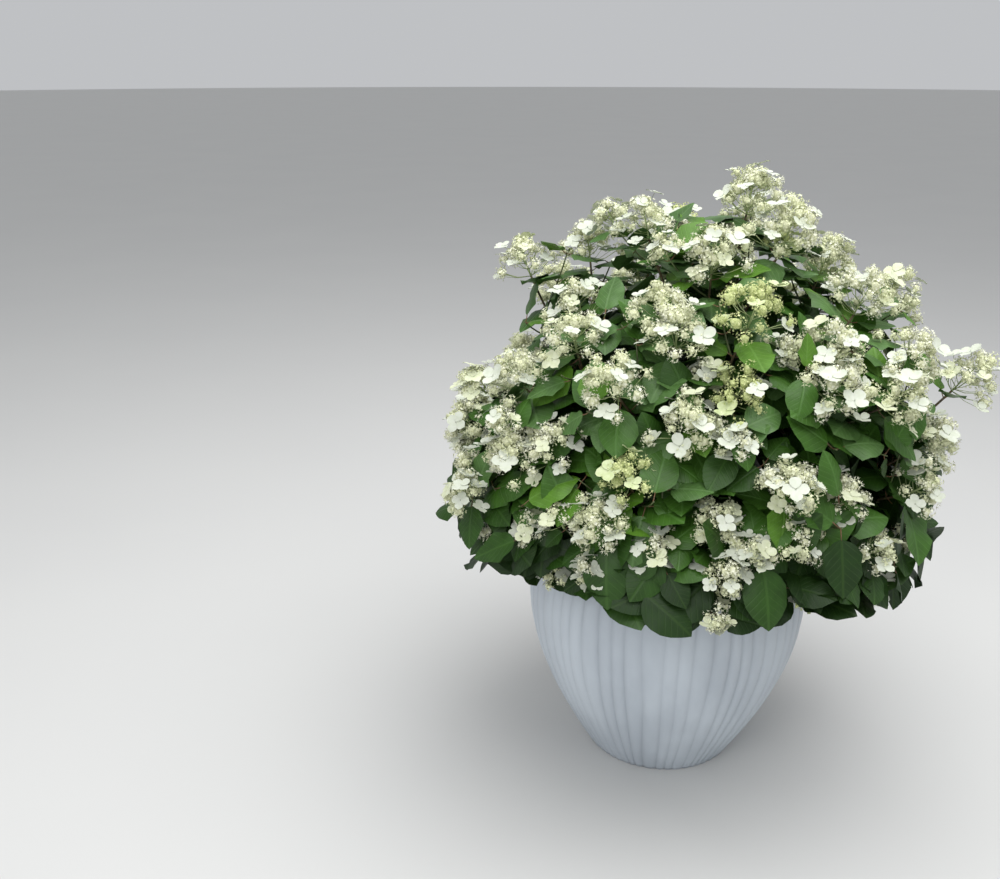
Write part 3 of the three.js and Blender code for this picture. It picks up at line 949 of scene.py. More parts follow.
@dataclass
class Pot:
    """The fluted pot: a turned shell with waving pleats round its outer wall."""

    FURROW = "furrow"

    height: float = 0.390
    foot_radius: float = 0.140
    rim_radius: float = 0.246
    belly_low: float = 0.066
    belly_high: float = 0.038
    belly_heights: Pair = (0.28, 0.65)
    wall: float = 0.010
    floor: float = 0.014
    flutes: int = 56
    flute_depth: float = 0.0034
    flute_sharpness: float = 0.62
    flute_drifts: tuple[Wave, ...] = (Wave(0.017, 14, start=1.3), Wave(0.02, 5, 1.5, 4.1), Wave(0.010, 6, 5.5),
                                      Wave(0.003, 17, -8.0))
    flute_swell: Wave = Wave(0.22, 7, 3.0, 0.7)
    around: int = 784
    rings: int = 44
    curve_steps: int = 60
    rim_step: int = 30
    skin_share: float = 0.4
    inner_heights: tuple[float, ...] = (0.33, 0.25, 0.17, 0.09, 0.03)

    def outline(self, share: float) -> Pair:
        """The outer wall's curve.

        Args:
            share: How far along it, from 0 at the foot to 1 at the rim.

        Returns:
            The radius and the height there.
        """
        t = share
        weights = ((1 - t) ** 3, 3 * t * (1 - t) ** 2, 3 * t**2 * (1 - t), t**3)
        radii = (self.foot_radius, self.foot_radius + self.belly_low, self.rim_radius + self.belly_high,
                 self.rim_radius)
        heights = (0.0, *(share * self.height for share in self.belly_heights), self.height)
        return sum(w * r for w, r in zip(weights, radii)), sum(w * h for w, h in zip(weights, heights))

    @cached_property
    def curve(self) -> tuple[tuple[float, ...], tuple[float, ...]]:
        """The outer wall's radii and heights, at even steps of its curve."""
        return tuple(zip(*(self.outline(step / self.curve_steps) for step in range(self.curve_steps + 1))))

    def radius_at(self, height: float) -> float:
        """The radius of the outer wall at a height."""
        radii, heights = self.curve
        return float(np.interp(height, heights, radii))

    def furrow_at(self, bearing: float, height: float) -> float:
        """How deep the wall is furrowed by its pleats, which are of uneven width and waver as they rise.

        Args:
            bearing: The bearing in radians.
            height: The height.

        Returns:
            A share from 0 on a ridge to 1 in a full furrow.
        """
        rise = height / self.height
        phase = self.flutes / 2 * (bearing + sum(wave.at(bearing, rise) for wave in self.flute_drifts))
        swell = 1 - self.flute_swell.height + self.flute_swell.at(bearing, rise)
        return (1 - abs(math.sin(phase)) ** self.flute_sharpness) * swell

    def build(self) -> bpy.types.Object:
        """Turns the profile, furrows the outer wall and dresses the pot.

        Returns:
            The pot.
        """
        bm = bmesh.new()
        outer = [self.outline(step / self.rings) for step in range(self.rings)]
        lip = self.wall / 2
        rim = [(self.rim_radius - lip + lip * math.cos(a), self.height + lip * (math.sin(a) - 1))
               for a in (math.radians(step) for step in range(0, 181, self.rim_step))]
        inner = [(self.radius_at(h) - self.wall, h) for h in self.inner_heights]
        turn_profile(bm, [(0.0, 0.0), *outer, *rim, *inner, (self.foot_radius - self.wall, self.floor),
                          (0.0, self.floor)], self.around)
        depth_layer = bm.verts.layers.float.new(self.FURROW)
        for vert in bm.verts:
            radius = math.hypot(vert.co.x, vert.co.y)
            if radius > self.radius_at(vert.co.z) - self.skin_share * self.wall and radius > self.wall:
                depth = self.furrow_at(math.atan2(vert.co.y, vert.co.x), vert.co.z)
                vert.co.xy *= 1 - depth * self.flute_depth / radius
                vert[depth_layer] = depth
        bmesh.ops.recalc_face_normals(bm, faces=bm.faces[:])
        pot = piece_from_bmesh("fluted_pot", bm, PotFinish().build())
        stand_in(pot, "pot", "pot")
        return pot


@dataclass
class PottingMix:
    """The potting mix: a turned body with a crumbly surface."""

    height: float = 0.360
    floor: float = 0.0143
    foot_bevel: float = 0.004
    gap: float = 0.0015
    side_heights: tuple[float, ...] = (0.05, 0.12, 0.2, 0.28)
    rings: int = 40
    around: int = 144
    crumbs: tuple[Pair, ...] = ((0.004, 25), (0.003, 90))
    finish: GrainFinish = GrainFinish("potting_mix_crumbs", (0.075, 0.048, 0.028), (0.018, 0.012, 0.008), 0.92, 0.003,
                                      0.9, 220.0, 6.0, (1, 1, 1), (0.45, 0.75))

    def build(self, pot: Pot) -> bpy.types.Object:
        """Turns the body and crumbles its surface.

        Args:
            pot: The pot that it fills.

        Returns:
            The potting mix.
        """
        bm = bmesh.new()
        inset = pot.wall + self.gap
        wall = [(pot.radius_at(h) - inset, h) for h in (*self.side_heights, self.height)]
        top = [(wall[-1][0] * (1 - step / self.rings), self.height) for step in range(1, self.rings + 1)]
        foot = [(0.0, self.floor), (pot.foot_radius - inset, self.floor + self.foot_bevel)]
        turn_profile(bm, foot + wall + top, self.around)
        for vert in bm.verts:
            if vert.co.z > self.height - 1e-4:
                vert.co.z += lumps(Vector((vert.co.x, vert.co.y, 0.0)), *self.crumbs)
        bmesh.ops.recalc_face_normals(bm, faces=bm.faces[:])
        mix = piece_from_bmesh("potting_mix_surface", bm, self.finish.build())
        stand_in(mix, "soil", "potting_mix")
        return mix


@dataclass
class Canes:
    """The woody foot of the shrub: the stool and the fifteen canes that spring from it, with the bark's relief."""

    foot_radius: float = 0.0065
    tip_radius: float = 0.0042
    sides: int = 12
    steps: int = 44
    node_spacing: float = 0.055
    node_swell: float = 0.0016
    node_reach: float = 0.006
    stool_sides: int = 48
    stool_radii: tuple[float, ...] = (0.0, 1.25, 1.25, 1.125, 0.98, 0.86, 0.93, 1.0, 0.94, 0.82, 0.64, 0.45, 0.0)
    stool_heights: tuple[float, ...] = (0.0, 0.0, 0.03, 0.1, 0.2, 0.3, 0.42, 0.55, 0.7, 0.82, 0.9, 0.96, 1.0)
    stool_knobs: tuple[Pair, ...] = ((0.006, 60), (0.002, 190))
    cane_ridges: tuple[Pair, ...] = ((0.0006, 160), (0.0005, 420))
    finish: GrainFinish = GrainFinish("cane_bark", (0.155, 0.108, 0.066), (0.062, 0.042, 0.026), 0.85, 0.0012)

    def build(self, crown: Crown) -> bpy.types.Object:
        """Makes the stool and grows each cane out of it.

        Args:
            crown: The rule that says where they run.

        Returns:
            The wood as one piece.
        """
        bm = bmesh.new()
        self._add_stool(bm, crown)
        for mass in crown.masses:
            self._add_cane(bm, crown.bough_line(mass))
        bmesh.ops.recalc_face_normals(bm, faces=bm.faces[:])
        wood = piece_from_bmesh("stool_and_canes", bm, self.finish.build())
        stand_in(wood, "bark", "trunk_stool", *(f"bough_{mass.name}" for mass in crown.masses))
        return wood

    def _add_stool(self, bm: bmesh.types.BMesh, crown: Crown) -> None:
        """Adds the short stool, flared at its flat cut and gnarled above it.

        Args:
            bm: The empty mesh that it starts.
            crown: The rule that says how large it is.
        """
        profile = [(radius * crown.stool_radius, crown.soil_height + height * crown.stool_height)
                   for radius, height in zip(self.stool_radii, self.stool_heights)]
        turn_profile(bm, profile, self.stool_sides)
        for vert in bm.verts:
            rise = (vert.co.z - crown.soil_height) / crown.stool_height
            knob = lumps(vert.co, *self.stool_knobs) * min(1.0, 6 * rise)
            vert.co.xy *= 1 + knob / max(math.hypot(vert.co.x, vert.co.y), 0.01)

    def _add_cane(self, bm: bmesh.types.BMesh, line: Curve) -> None:
        """Adds a cane: a disc drawn out along its line step by step, swollen at its nodes and ridged.

        Args:
            bm: The mesh that it joins.
            line: The curve that it follows.
        """
        points = bezier(line, np.linspace(0, 1, self.steps + 1))
        along = unit(np.gradient(points, axis=0))
        side = square_to(np.broadcast_to(SIDEWAYS, along.shape), along)
        other = np.cross(along, side)
        run = np.concatenate(([0.0], np.cumsum(np.linalg.norm(np.diff(points, axis=0), axis=1))))
        disc = bmesh.ops.create_circle(bm, cap_ends=True, segments=self.sides, radius=1.0)["verts"]
        face = disc[0].link_faces[0]
        angles = [2 * math.pi * number / self.sides for number in range(self.sides)]
        for step in range(self.steps + 1):
            if step:
                old_face = face
                made = bmesh.ops.extrude_face_region(bm, geom=[face])["geom"]
                face = next(item for item in made if isinstance(item, bmesh.types.BMFace))
                if step > 1:
                    bmesh.ops.delete(bm, geom=[old_face], context="FACES_ONLY")
            share = run[step] / run[-1]
            nearness = abs((run[step] / self.node_spacing + 0.5) % 1.0 - 0.5) * self.node_spacing
            swell = self.node_swell * max(0.0, 1 - nearness / self.node_reach)
            radius = self.foot_radius + (self.tip_radius - self.foot_radius) * share + swell
            for angle, loop in zip(angles, face.loops):
                spoke = side[step] * math.cos(angle) + other[step] * math.sin(angle)
                place = points[step] + spoke * radius
                loop.vert.co = Vector(place + spoke * lumps(Vector(place), *self.cane_ridges))


class Tint(Enum):
    """A group of finishes that a kind of piece is dealt."""

    @property
    def number(self) -> int:
        """Its place in its group, which is also its material's slot on the piece."""
        return list(type(self)).index(self)

    @classmethod
    def build_all(cls) -> list[bpy.types.Material]:
        """Makes the group's materials, in their order."""
        return [tint.value.build() for tint in cls]


class LeafTint(Tint):
    """The greens of the leaves, graded by painted light: painted shade deep inside and low down, a middle green, then
    painted light and a painted sheen on top.
    """

    # the first two greens are painted shade, the last two painted light and a painted sheen
    DEEP_SHADE = LeafFinish("leaf_painted_deep_shade", (0.012, 0.040, 0.004), (0.03, 0.07, 0.010), 0.5)
    HALF_SHADE = LeafFinish("leaf_painted_half_shade", (0.026, 0.078, 0.008), (0.05, 0.12, 0.02), 0.46)
    MIDDLE = LeafFinish("leaf_middle", (0.052, 0.142, 0.016), (0.09, 0.20, 0.045), 0.42)
    LIT = LeafFinish("leaf_painted_light", (0.100, 0.235, 0.022), (0.15, 0.30, 0.06), 0.42)
    SHEEN = LeafFinish("leaf_sheen", (0.085, 0.182, 0.046), (0.14, 0.25, 0.09), 0.40)


class BloomTint(Tint):
    """The colours of the small florets and of the hearts of their clusters, whose buds are mottled with painted shade
    between them.
    """

    CREAM = PetalFinish("floret_cream", (0.79, 0.82, 0.57), (0.70, 0.73, 0.46))
    IVORY = PetalFinish("floret_ivory", (0.83, 0.84, 0.68), (0.76, 0.77, 0.57))
    GREENISH = PetalFinish("floret_greenish", (0.70, 0.74, 0.38), (0.58, 0.64, 0.27))
    # the hearts' second colour is painted shade, mottled finely between the buds
    HEART = PetalFinish("bud_cream_with_painted_shade", (0.82, 0.83, 0.60), (0.54, 0.56, 0.33), 0.8, 560.0, 0.8)
    GREEN_HEART = PetalFinish("bud_green_with_painted_shade", (0.64, 0.69, 0.34), (0.38, 0.45, 0.16), 0.8, 560.0, 0.8)


class PetalTint(Tint):
    """The colours of the large florets."""

    WHITE = PetalFinish("petal_white", (0.64, 0.67, 0.58), (0.58, 0.62, 0.50), 0.55)
    MILK = PetalFinish("petal_milk", (0.67, 0.70, 0.52), (0.60, 0.64, 0.42), 0.55)
    LIME = PetalFinish("petal_lime", (0.62, 0.68, 0.42), (0.52, 0.60, 0.31), 0.55)


class TwigTint(Tint):
    """The colours of the twigs and stalks."""

    BROWN = GrainFinish("twig_brown", (0.13, 0.095, 0.045), (0.06, 0.045, 0.025), 0.65)
    GREEN = GrainFinish("twig_green", (0.10, 0.135, 0.045), (0.06, 0.075, 0.028), 0.55)
    RED = GrainFinish("stalk_red", (0.19, 0.095, 0.045), (0.10, 0.06, 0.03), 0.5)
    PALE = GrainFinish("stalk_pale", (0.42, 0.50, 0.24), (0.30, 0.38, 0.16), 0.55)


class BloomPart(Enum):
    """The parts of a cluster of small florets, in the order of their templates."""

    STAR = 0
    TUFT = 1
    HEART = 2


@dataclass
class LeafShape:
    """A leaf's blade: ovate with a drawn-out point, folded a little along its midrib and bent down."""

    FORMS = ((0.10, 0.08, 0.00, 0.3, 0.6), (0.20, 0.10, 0.25, 0.4, 0.8), (0.16, 0.22, -0.25, 0.4, 0.2),
             (0.30, 0.08, 0.10, 0.5, 0.9), (0.05, 0.20, -0.12, 0.5, 0.3), (0.24, 0.05, 0.18, 0.3, 1.0))
    PROBE = np.array(((0.0, 0.3, 0.0), (0.0, 0.65, -0.05), (0.0, 1.0, -0.15), (0.3, 0.42, 0.02),
                      (-0.3, 0.42, 0.02), (0.18, 0.75, -0.05), (-0.18, 0.75, -0.05)))  # points on a blade 1 long

    across: int = 4
    along: int = 9
    width: float = 0.72
    crowding: float = 0.09
    root_power: float = 0.6
    tip_power: float = 0.9
    fullness: float = 0.3644
    edge_waves: float = 14.0
    edge_slant: float = 4.0
    shortening: float = 0.35

    def half_width(self, share: float) -> float:
        """Half of the blade's width at a share of its length, for a blade 1 long."""
        body = share**self.root_power * (1 - share) ** self.tip_power / self.fullness
        return 0.5 * self.width * min(1.0, body)

    def template(self, bend: float, fold: float, twist: float, wave: float, dome: float) -> Template:
        """Makes a blade 1 long, from its root at the origin along +Y, with its face towards +Z.

        Args:
            bend: How far its point hangs.
            fold: How far its halves are raised.
            twist: How far its point turns about its length, in radians.
            wave: How far its edges wave.
            dome: How far its edges curl down.

        Returns:
            The blade.
        """
        bm = bmesh.new()
        bmesh.ops.create_grid(bm, x_segments=self.across, y_segments=self.along, size=0.5)
        for vert in bm.verts:
            even = min(max(vert.co.y + 0.5, 0.0), 1.0)
            share = even + self.crowding * math.sin(-2 * math.pi * even)
            vert.co = Vector((2 * vert.co.x * self.half_width(share), share, 0.0))
        bmesh.ops.remove_doubles(bm, verts=bm.verts[:], dist=10 * MERGE_DISTANCE)
        layer = bm.loops.layers.uv.new(BLADE_UV)
        for face in bm.faces:
            for loop in face.loops:
                loop[layer].uv = (loop.vert.co.x + 0.5, loop.vert.co.y)
        for vert in bm.verts:
            x, share = vert.co.x, vert.co.y
            raised = fold * abs(x) + x * x * (wave * math.sin(self.edge_waves * share + self.edge_slant * x) - dome)
            angle = twist * share
            drop = bend * share * share
            vert.co = Vector((x * math.cos(angle), share * (1 - self.shortening * bend * share),
                              raised * math.cos(angle) + x * math.sin(angle) - drop))
        return Template.from_bmesh(bm)


@dataclass
class PetalShape:
    """A large floret: four broad rounded petals round a small eye."""

    CUPS = (0.02, 0.09, 0.16)
    QUARTER_TURN = np.array(((0, -1, 0), (1, 0, 0), (0, 0, 1)))

    shares: tuple[float, ...] = (0.0, 0.16, 0.40, 0.66, 0.88, 1.0)
    half_widths: tuple[float, ...] = (0.03, 0.125, 0.205, 0.220, 0.160, 0.045)
    root: float = 0.03
    curl: float = 0.045
    rounding: float = 0.03
    tip_share: float = 0.8
    tip_dip: float = 0.25
    layer_gap: float = 0.02
    layer_tilt: float = 0.05
    eye_radii: Pair = (0.045, 0.02)
    eye_height: float = 0.06

    def template(self, cup: float) -> Template:
        """Makes a floret 1 across.

        Args:
            cup: How far the petals are raised at their ends.

        Returns:
            The floret, facing +Z.
        """
        bm = bmesh.new()
        rows = len(self.shares) - 1
        bmesh.ops.create_grid(bm, x_segments=2, y_segments=rows, size=0.5)
        for vert in bm.verts:
            row = round((vert.co.y + 0.5) * rows)
            share, side = self.shares[row], 2 * vert.co.x
            dip = self.tip_dip * max(0.0, share - self.tip_share)
            lift = cup * share * share + self.curl * side * side * share - dip
            out = self.root + share * (0.5 - self.root) - self.rounding * side * side * share
            vert.co = Vector((side * self.half_widths[row], out, lift))
        petal = bm.verts[:] + bm.edges[:] + bm.faces[:]
        for number in range(1, 4):
            turn = np.linalg.matrix_power(self.QUARTER_TURN, number)
            for item in bmesh.ops.duplicate(bm, geom=petal)["geom"]:
                if isinstance(item, bmesh.types.BMVert):
                    item.co = Vector(turn @ np.array(item.co))
                    radius = math.hypot(item.co.x, item.co.y)
                    item.co.z += self.layer_gap * (number % 2) + self.layer_tilt * (number - 1.5) * radius
        eye = bmesh.ops.create_cone(bm, segments=4, radius1=self.eye_radii[0], radius2=self.eye_radii[1],
                                    depth=self.eye_height)["verts"]
        bmesh.ops.translate(bm, verts=eye, vec=(0, 0, self.eye_height / 2))
        return Template.from_bmesh(bm)


def floret_template() -> Template:
    """Makes a small fertile floret 1 across: a cupped star of four petals.

    Returns:
        The floret, facing +Z.
    """
    bm = bmesh.new()
    for vert in bmesh.ops.create_circle(bm, cap_ends=True, cap_tris=True, segments=8, radius=0.5)["verts"]:
        radius = math.hypot(vert.co.x, vert.co.y)
        is_tip = round(math.atan2(vert.co.y, vert.co.x) / (math.pi / 4)) % 2 == 0
        share = 1.0 if is_tip else 0.5
        vert.co = Vector((vert.co.x * share, vert.co.y * share, 0.24 * share * radius / 0.5))
    return Template.from_bmesh(bm)


def stamens_template(count: int = 3, lean: float = 0.62) -> Template:
    """Makes a tuft of stamens 1 across.

    Args:
        count: How many stamens it has.
        lean: How far each leans out, in radians.

    Returns:
        The tuft, which stands out along +Z.
    """
    bm = bmesh.new()
    for number in range(count):
        spike = bmesh.ops.create_cone(bm, segments=3, radius1=0.13, radius2=0.0, depth=0.85)["verts"]
        bmesh.ops.translate(bm, verts=spike, vec=(0.0, 0.0, 0.4))
        for vert in spike:
            leant = turn_about(np.array(vert.co), np.array((1.0, 0.0, 0.0)), lean)
            vert.co = Vector(turn_about(leant, UP, number * 2 * math.pi / count))
    bmesh.ops.remove_doubles(bm, verts=bm.verts[:], dist=MERGE_DISTANCE)
    return Template.from_bmesh(bm)


def heart_template(lumpiness: float = 0.9) -> Template:
    """Makes the lumpy mass of buds in the heart of a cluster of florets, 1 across.

    Args:
        lumpiness: How far its lumps stand out.

    Returns:
        The heart.
    """
    bm = bmesh.new()
    bmesh.ops.create_icosphere(bm, subdivisions=1, radius=0.5)
    for vert in bm.verts:
        vert.co *= 1 + lumps(vert.co, (lumpiness, 5))
    return Template.from_bmesh(bm)


@dataclass
class Bed:
    """Gathers the parts of one mass before they are joined, and says where they find room."""

    crown: Crown
    pot: Pot
    mass: Mass
    leaves: Scatter
    petals: Scatter
    bloom: Scatter
    twigs: Tubes = field(default_factory=Tubes)
    stream: Stream = field(default_factory=lambda: Stream(0))
    wedge_slack: float = -0.035
    rim_gap: float = 0.006
    wall_gap: float = 0.005
    soil_gap: float = 0.008

    def is_blocked(self, points: np.ndarray) -> bool:
        """Looks for points that lie in the pot, in its soil or closer to them than a few millimetres.

        Args:
            points: Rows of points.

        Returns:
            True if there is one.
        """
        for x, y, z in points[points[:, 2] < self.pot.height + self.rim_gap]:
            radius = math.hypot(x, y)
            wall = self.pot.radius_at(min(z, self.pot.height))
            is_outside = radius > wall + self.wall_gap
            is_inside = radius < wall - self.pot.wall - self.rim_gap and z > self.crown.soil_height + self.soil_gap
            if not (is_outside or is_inside):
                return True
        return False

    def has_room(self, points: np.ndarray, share: float) -> bool:
        """True if every point is clear of the pot and lies within a share of the crown's reach."""
        return self.crown.is_in_reach(points, share) and not self.is_blocked(points)

    def is_own(self, points: np.ndarray) -> bool:
        """True if every point lies in the mass's own wedge, or little past its borders."""
        return self.crown.is_in_wedge(self.mass, points, self.wedge_slack)


@dataclass
class Panicle:
    """A panicle: clusters of small florets on branches in a spiral, with large florets round them."""

    clusters: int = 21
    florets: int = 38
    floret_size: float = 0.0056
    petal_size: float = 0.037
    cluster_radius: float = 0.0118
    heart_size: float = 1.2
    spread: float = 1.15
    rachis_shares: tuple[float, ...] = (-0.1, 0.3, 0.7)
    rachis_taper: tuple[float, ...] = (1.2, 1.0, 0.6)
    stalk_taper: tuple[float, ...] = (1.2, 1.0, 0.9)
    rachis_radius: float = 0.0015
    branch_radius: float = 0.0008
    stalk_radius: float = 0.0005
    lowest_cluster: float = 0.18
    climb: float = 0.52
    crown_share: float = 0.08
    green_share: float = 0.07
    ivory_share: float = 0.45
    lime_share: float = 0.6
    milk_share: float = 0.3
    star_share: float = 0.66
    petal_reach: float = 1.03
    fewest_clusters: int = 4
    cluster_power: float = 1.3
    taper_power: float = 1.8
    branch_climb: float = 0.6
    branch_sag: float = 0.1
    cap: float = 1.35
    floret_wobble: float = 0.3
    green_size: float = 0.8
    petal_climb: float = 0.7
    petal_wobble: float = 0.45
    turns: Span = (-0.4, 0.8)
    heights: Span = (-0.009, 0.018)
    petal_counts: Span = (4.2, 6.4)
    petal_steps: Span = (0.2, 0.6)
    part_sizes: Span = (0.72, 0.56)
    outs: Span = (0.62, 0.6)
    floret_depths: Span = (0.62, 0.5)
    petal_outs: Span = (0.85, 0.3)
    petal_sizes: Span = (0.7, 0.5)

    def add(self, bed: Bed, place: np.ndarray, axis: np.ndarray, size: float) -> None:
        """Adds a panicle to a mass's parts.

        Args:
            bed: Where they are gathered.
            place: Its foot.
            axis: The direction that it grows in.
            size: Its size, 1 for a full one.
        """
        length = bed.crown.panicle_length * size
        girth = bed.crown.panicle_radius * size
        is_green = bed.stream.draw() < self.green_share
        clusters = max(self.fewest_clusters, round(self.clusters * size**self.cluster_power))
        phase = bed.stream.draw(0, 2 * math.pi)
        rachis = place + axis * np.array(self.rachis_shares)[:, None] * length
        bed.twigs.add(rachis, self.rachis_radius * np.array(self.rachis_taper), 4, TwigTint.PALE)
        for number in range(clusters):
            share = (number + 0.5) / clusters
            spoke = spoke_about(axis, number * GOLDEN_TURN + phase + bed.stream.draw(*self.turns))
            narrowed = (1 - share**self.taper_power) * (1 - self.crown_share) + self.crown_share
            out = girth * self.spread * narrowed * bed.stream.draw(*self.outs)
            height = length * (self.lowest_cluster + self.climb * share) + bed.stream.draw(*self.heights) * size
            middle = place + axis * height + spoke * out
            width = self.cluster_radius * bed.stream.draw(*self.part_sizes) * (0.55 + 0.45 * size)
            fork = place + axis * max(0.0, height - self.branch_climb * out)
            bed.twigs.add(np.array((fork, (fork + middle) / 2 - axis * self.branch_sag * out, middle)),
                          np.full(3, self.branch_radius), 3, TwigTint.PALE)
            facing = unit(spoke * (1.1 - share) + axis * (0.45 + share))
            self._add_cluster(bed, middle, facing, width, is_green)
        self._add_petals(bed, place, axis, size, is_green)

    def _add_cluster(self, bed: Bed, middle: np.ndarray, facing: np.ndarray, width: float, is_green: bool) -> None:
        """Adds a round cluster of small florets round its heart of buds.

        Args:
            bed: Where the mass's parts are gathered.
            middle: Its middle.
            facing: The direction that it faces.
            width: Its radius.
            is_green: Whether it isn't ripe yet.
        """
        heart = basis(facing, SIDEWAYS) * width * self.heart_size
        bed.bloom.add(BloomPart.HEART.value, heart, middle, BloomTint.GREEN_HEART if is_green else BloomTint.HEART)
        count = round(self.florets * min(1.5, (width / self.cluster_radius) ** 1.5))
        phase = bed.stream.draw(0, 2 * math.pi)
        tint = BloomTint.GREENISH if is_green else (
            BloomTint.IVORY if bed.stream.draw() < self.ivory_share else BloomTint.CREAM)
        for number in range(count):
            rise = 1 - self.cap * (number + 0.5) / count
            level = math.sqrt(max(0.0, 1 - rise * rise))
            spoke = spoke_about(facing, number * GOLDEN_TURN + phase)
            outward = unit(facing * rise + spoke * level + bed.stream.around(self.floret_wobble))
            place = middle + outward * width * bed.stream.draw(*self.floret_depths)
            size = self.floret_size * bed.stream.draw(*self.part_sizes) * (self.green_size if is_green else 1.0)
            turn = basis(square_to(SIDEWAYS, outward), outward) * size
            part = BloomPart.STAR if bed.stream.draw() < self.star_share else BloomPart.TUFT
            bed.bloom.add(part.value, turn, place, tint)

    def _add_petals(self, bed: Bed, place: np.ndarray, axis: np.ndarray, size: float, is_green: bool) -> None:
        """Adds the large florets on their stalks, round the panicle's lower half and a few above it.

        Args:
            bed: Where the mass's parts are gathered.
            place: The panicle's foot.
            axis: The direction that it grows in.
            size: Its size, 1 for a full one.
            is_green: Whether it isn't ripe yet.
        """
        count = round(bed.stream.draw(*self.petal_counts) * min(1.0, size + 0.4))
        phase = bed.stream.draw(0, 2 * math.pi)
        for number in range(count):
            share = (number + bed.stream.draw(*self.petal_steps)) / count
            spoke = spoke_about(axis, number * GOLDEN_TURN + phase)
            out = bed.crown.panicle_radius * size * (1.22 - 0.62 * share) * bed.stream.draw(*self.petal_outs)
            height = bed.crown.panicle_length * size * (0.08 + 0.72 * share)
            end = place + axis * height + spoke * out
            if not bed.has_room(end[None], self.petal_reach):
                continue
            root = place + axis * max(0.0, height - self.petal_climb * out)
            bed.twigs.add(np.array((root, (root + end) / 2 - UP * 0.003, end)),
                          np.array(self.stalk_taper) * self.stalk_radius, 3, TwigTint.PALE)
            facing = unit(spoke * 0.5 + axis * 0.3 + UP * 1.05 + bed.stream.around(self.petal_wobble))
            width = self.petal_size * bed.stream.draw(*self.petal_sizes) * (0.6 + 0.4 * min(1.0, size))
            turned = spoke_about(facing, bed.stream.draw(0, math.pi))
            chance = bed.stream.draw()
            tint = PetalTint.LIME if is_green and chance < self.lime_share else (
                PetalTint.MILK if chance < self.milk_share else PetalTint.WHITE)
            bed.petals.add(bed.petals.pick(bed.stream), basis(turned, facing) * width, end, tint)


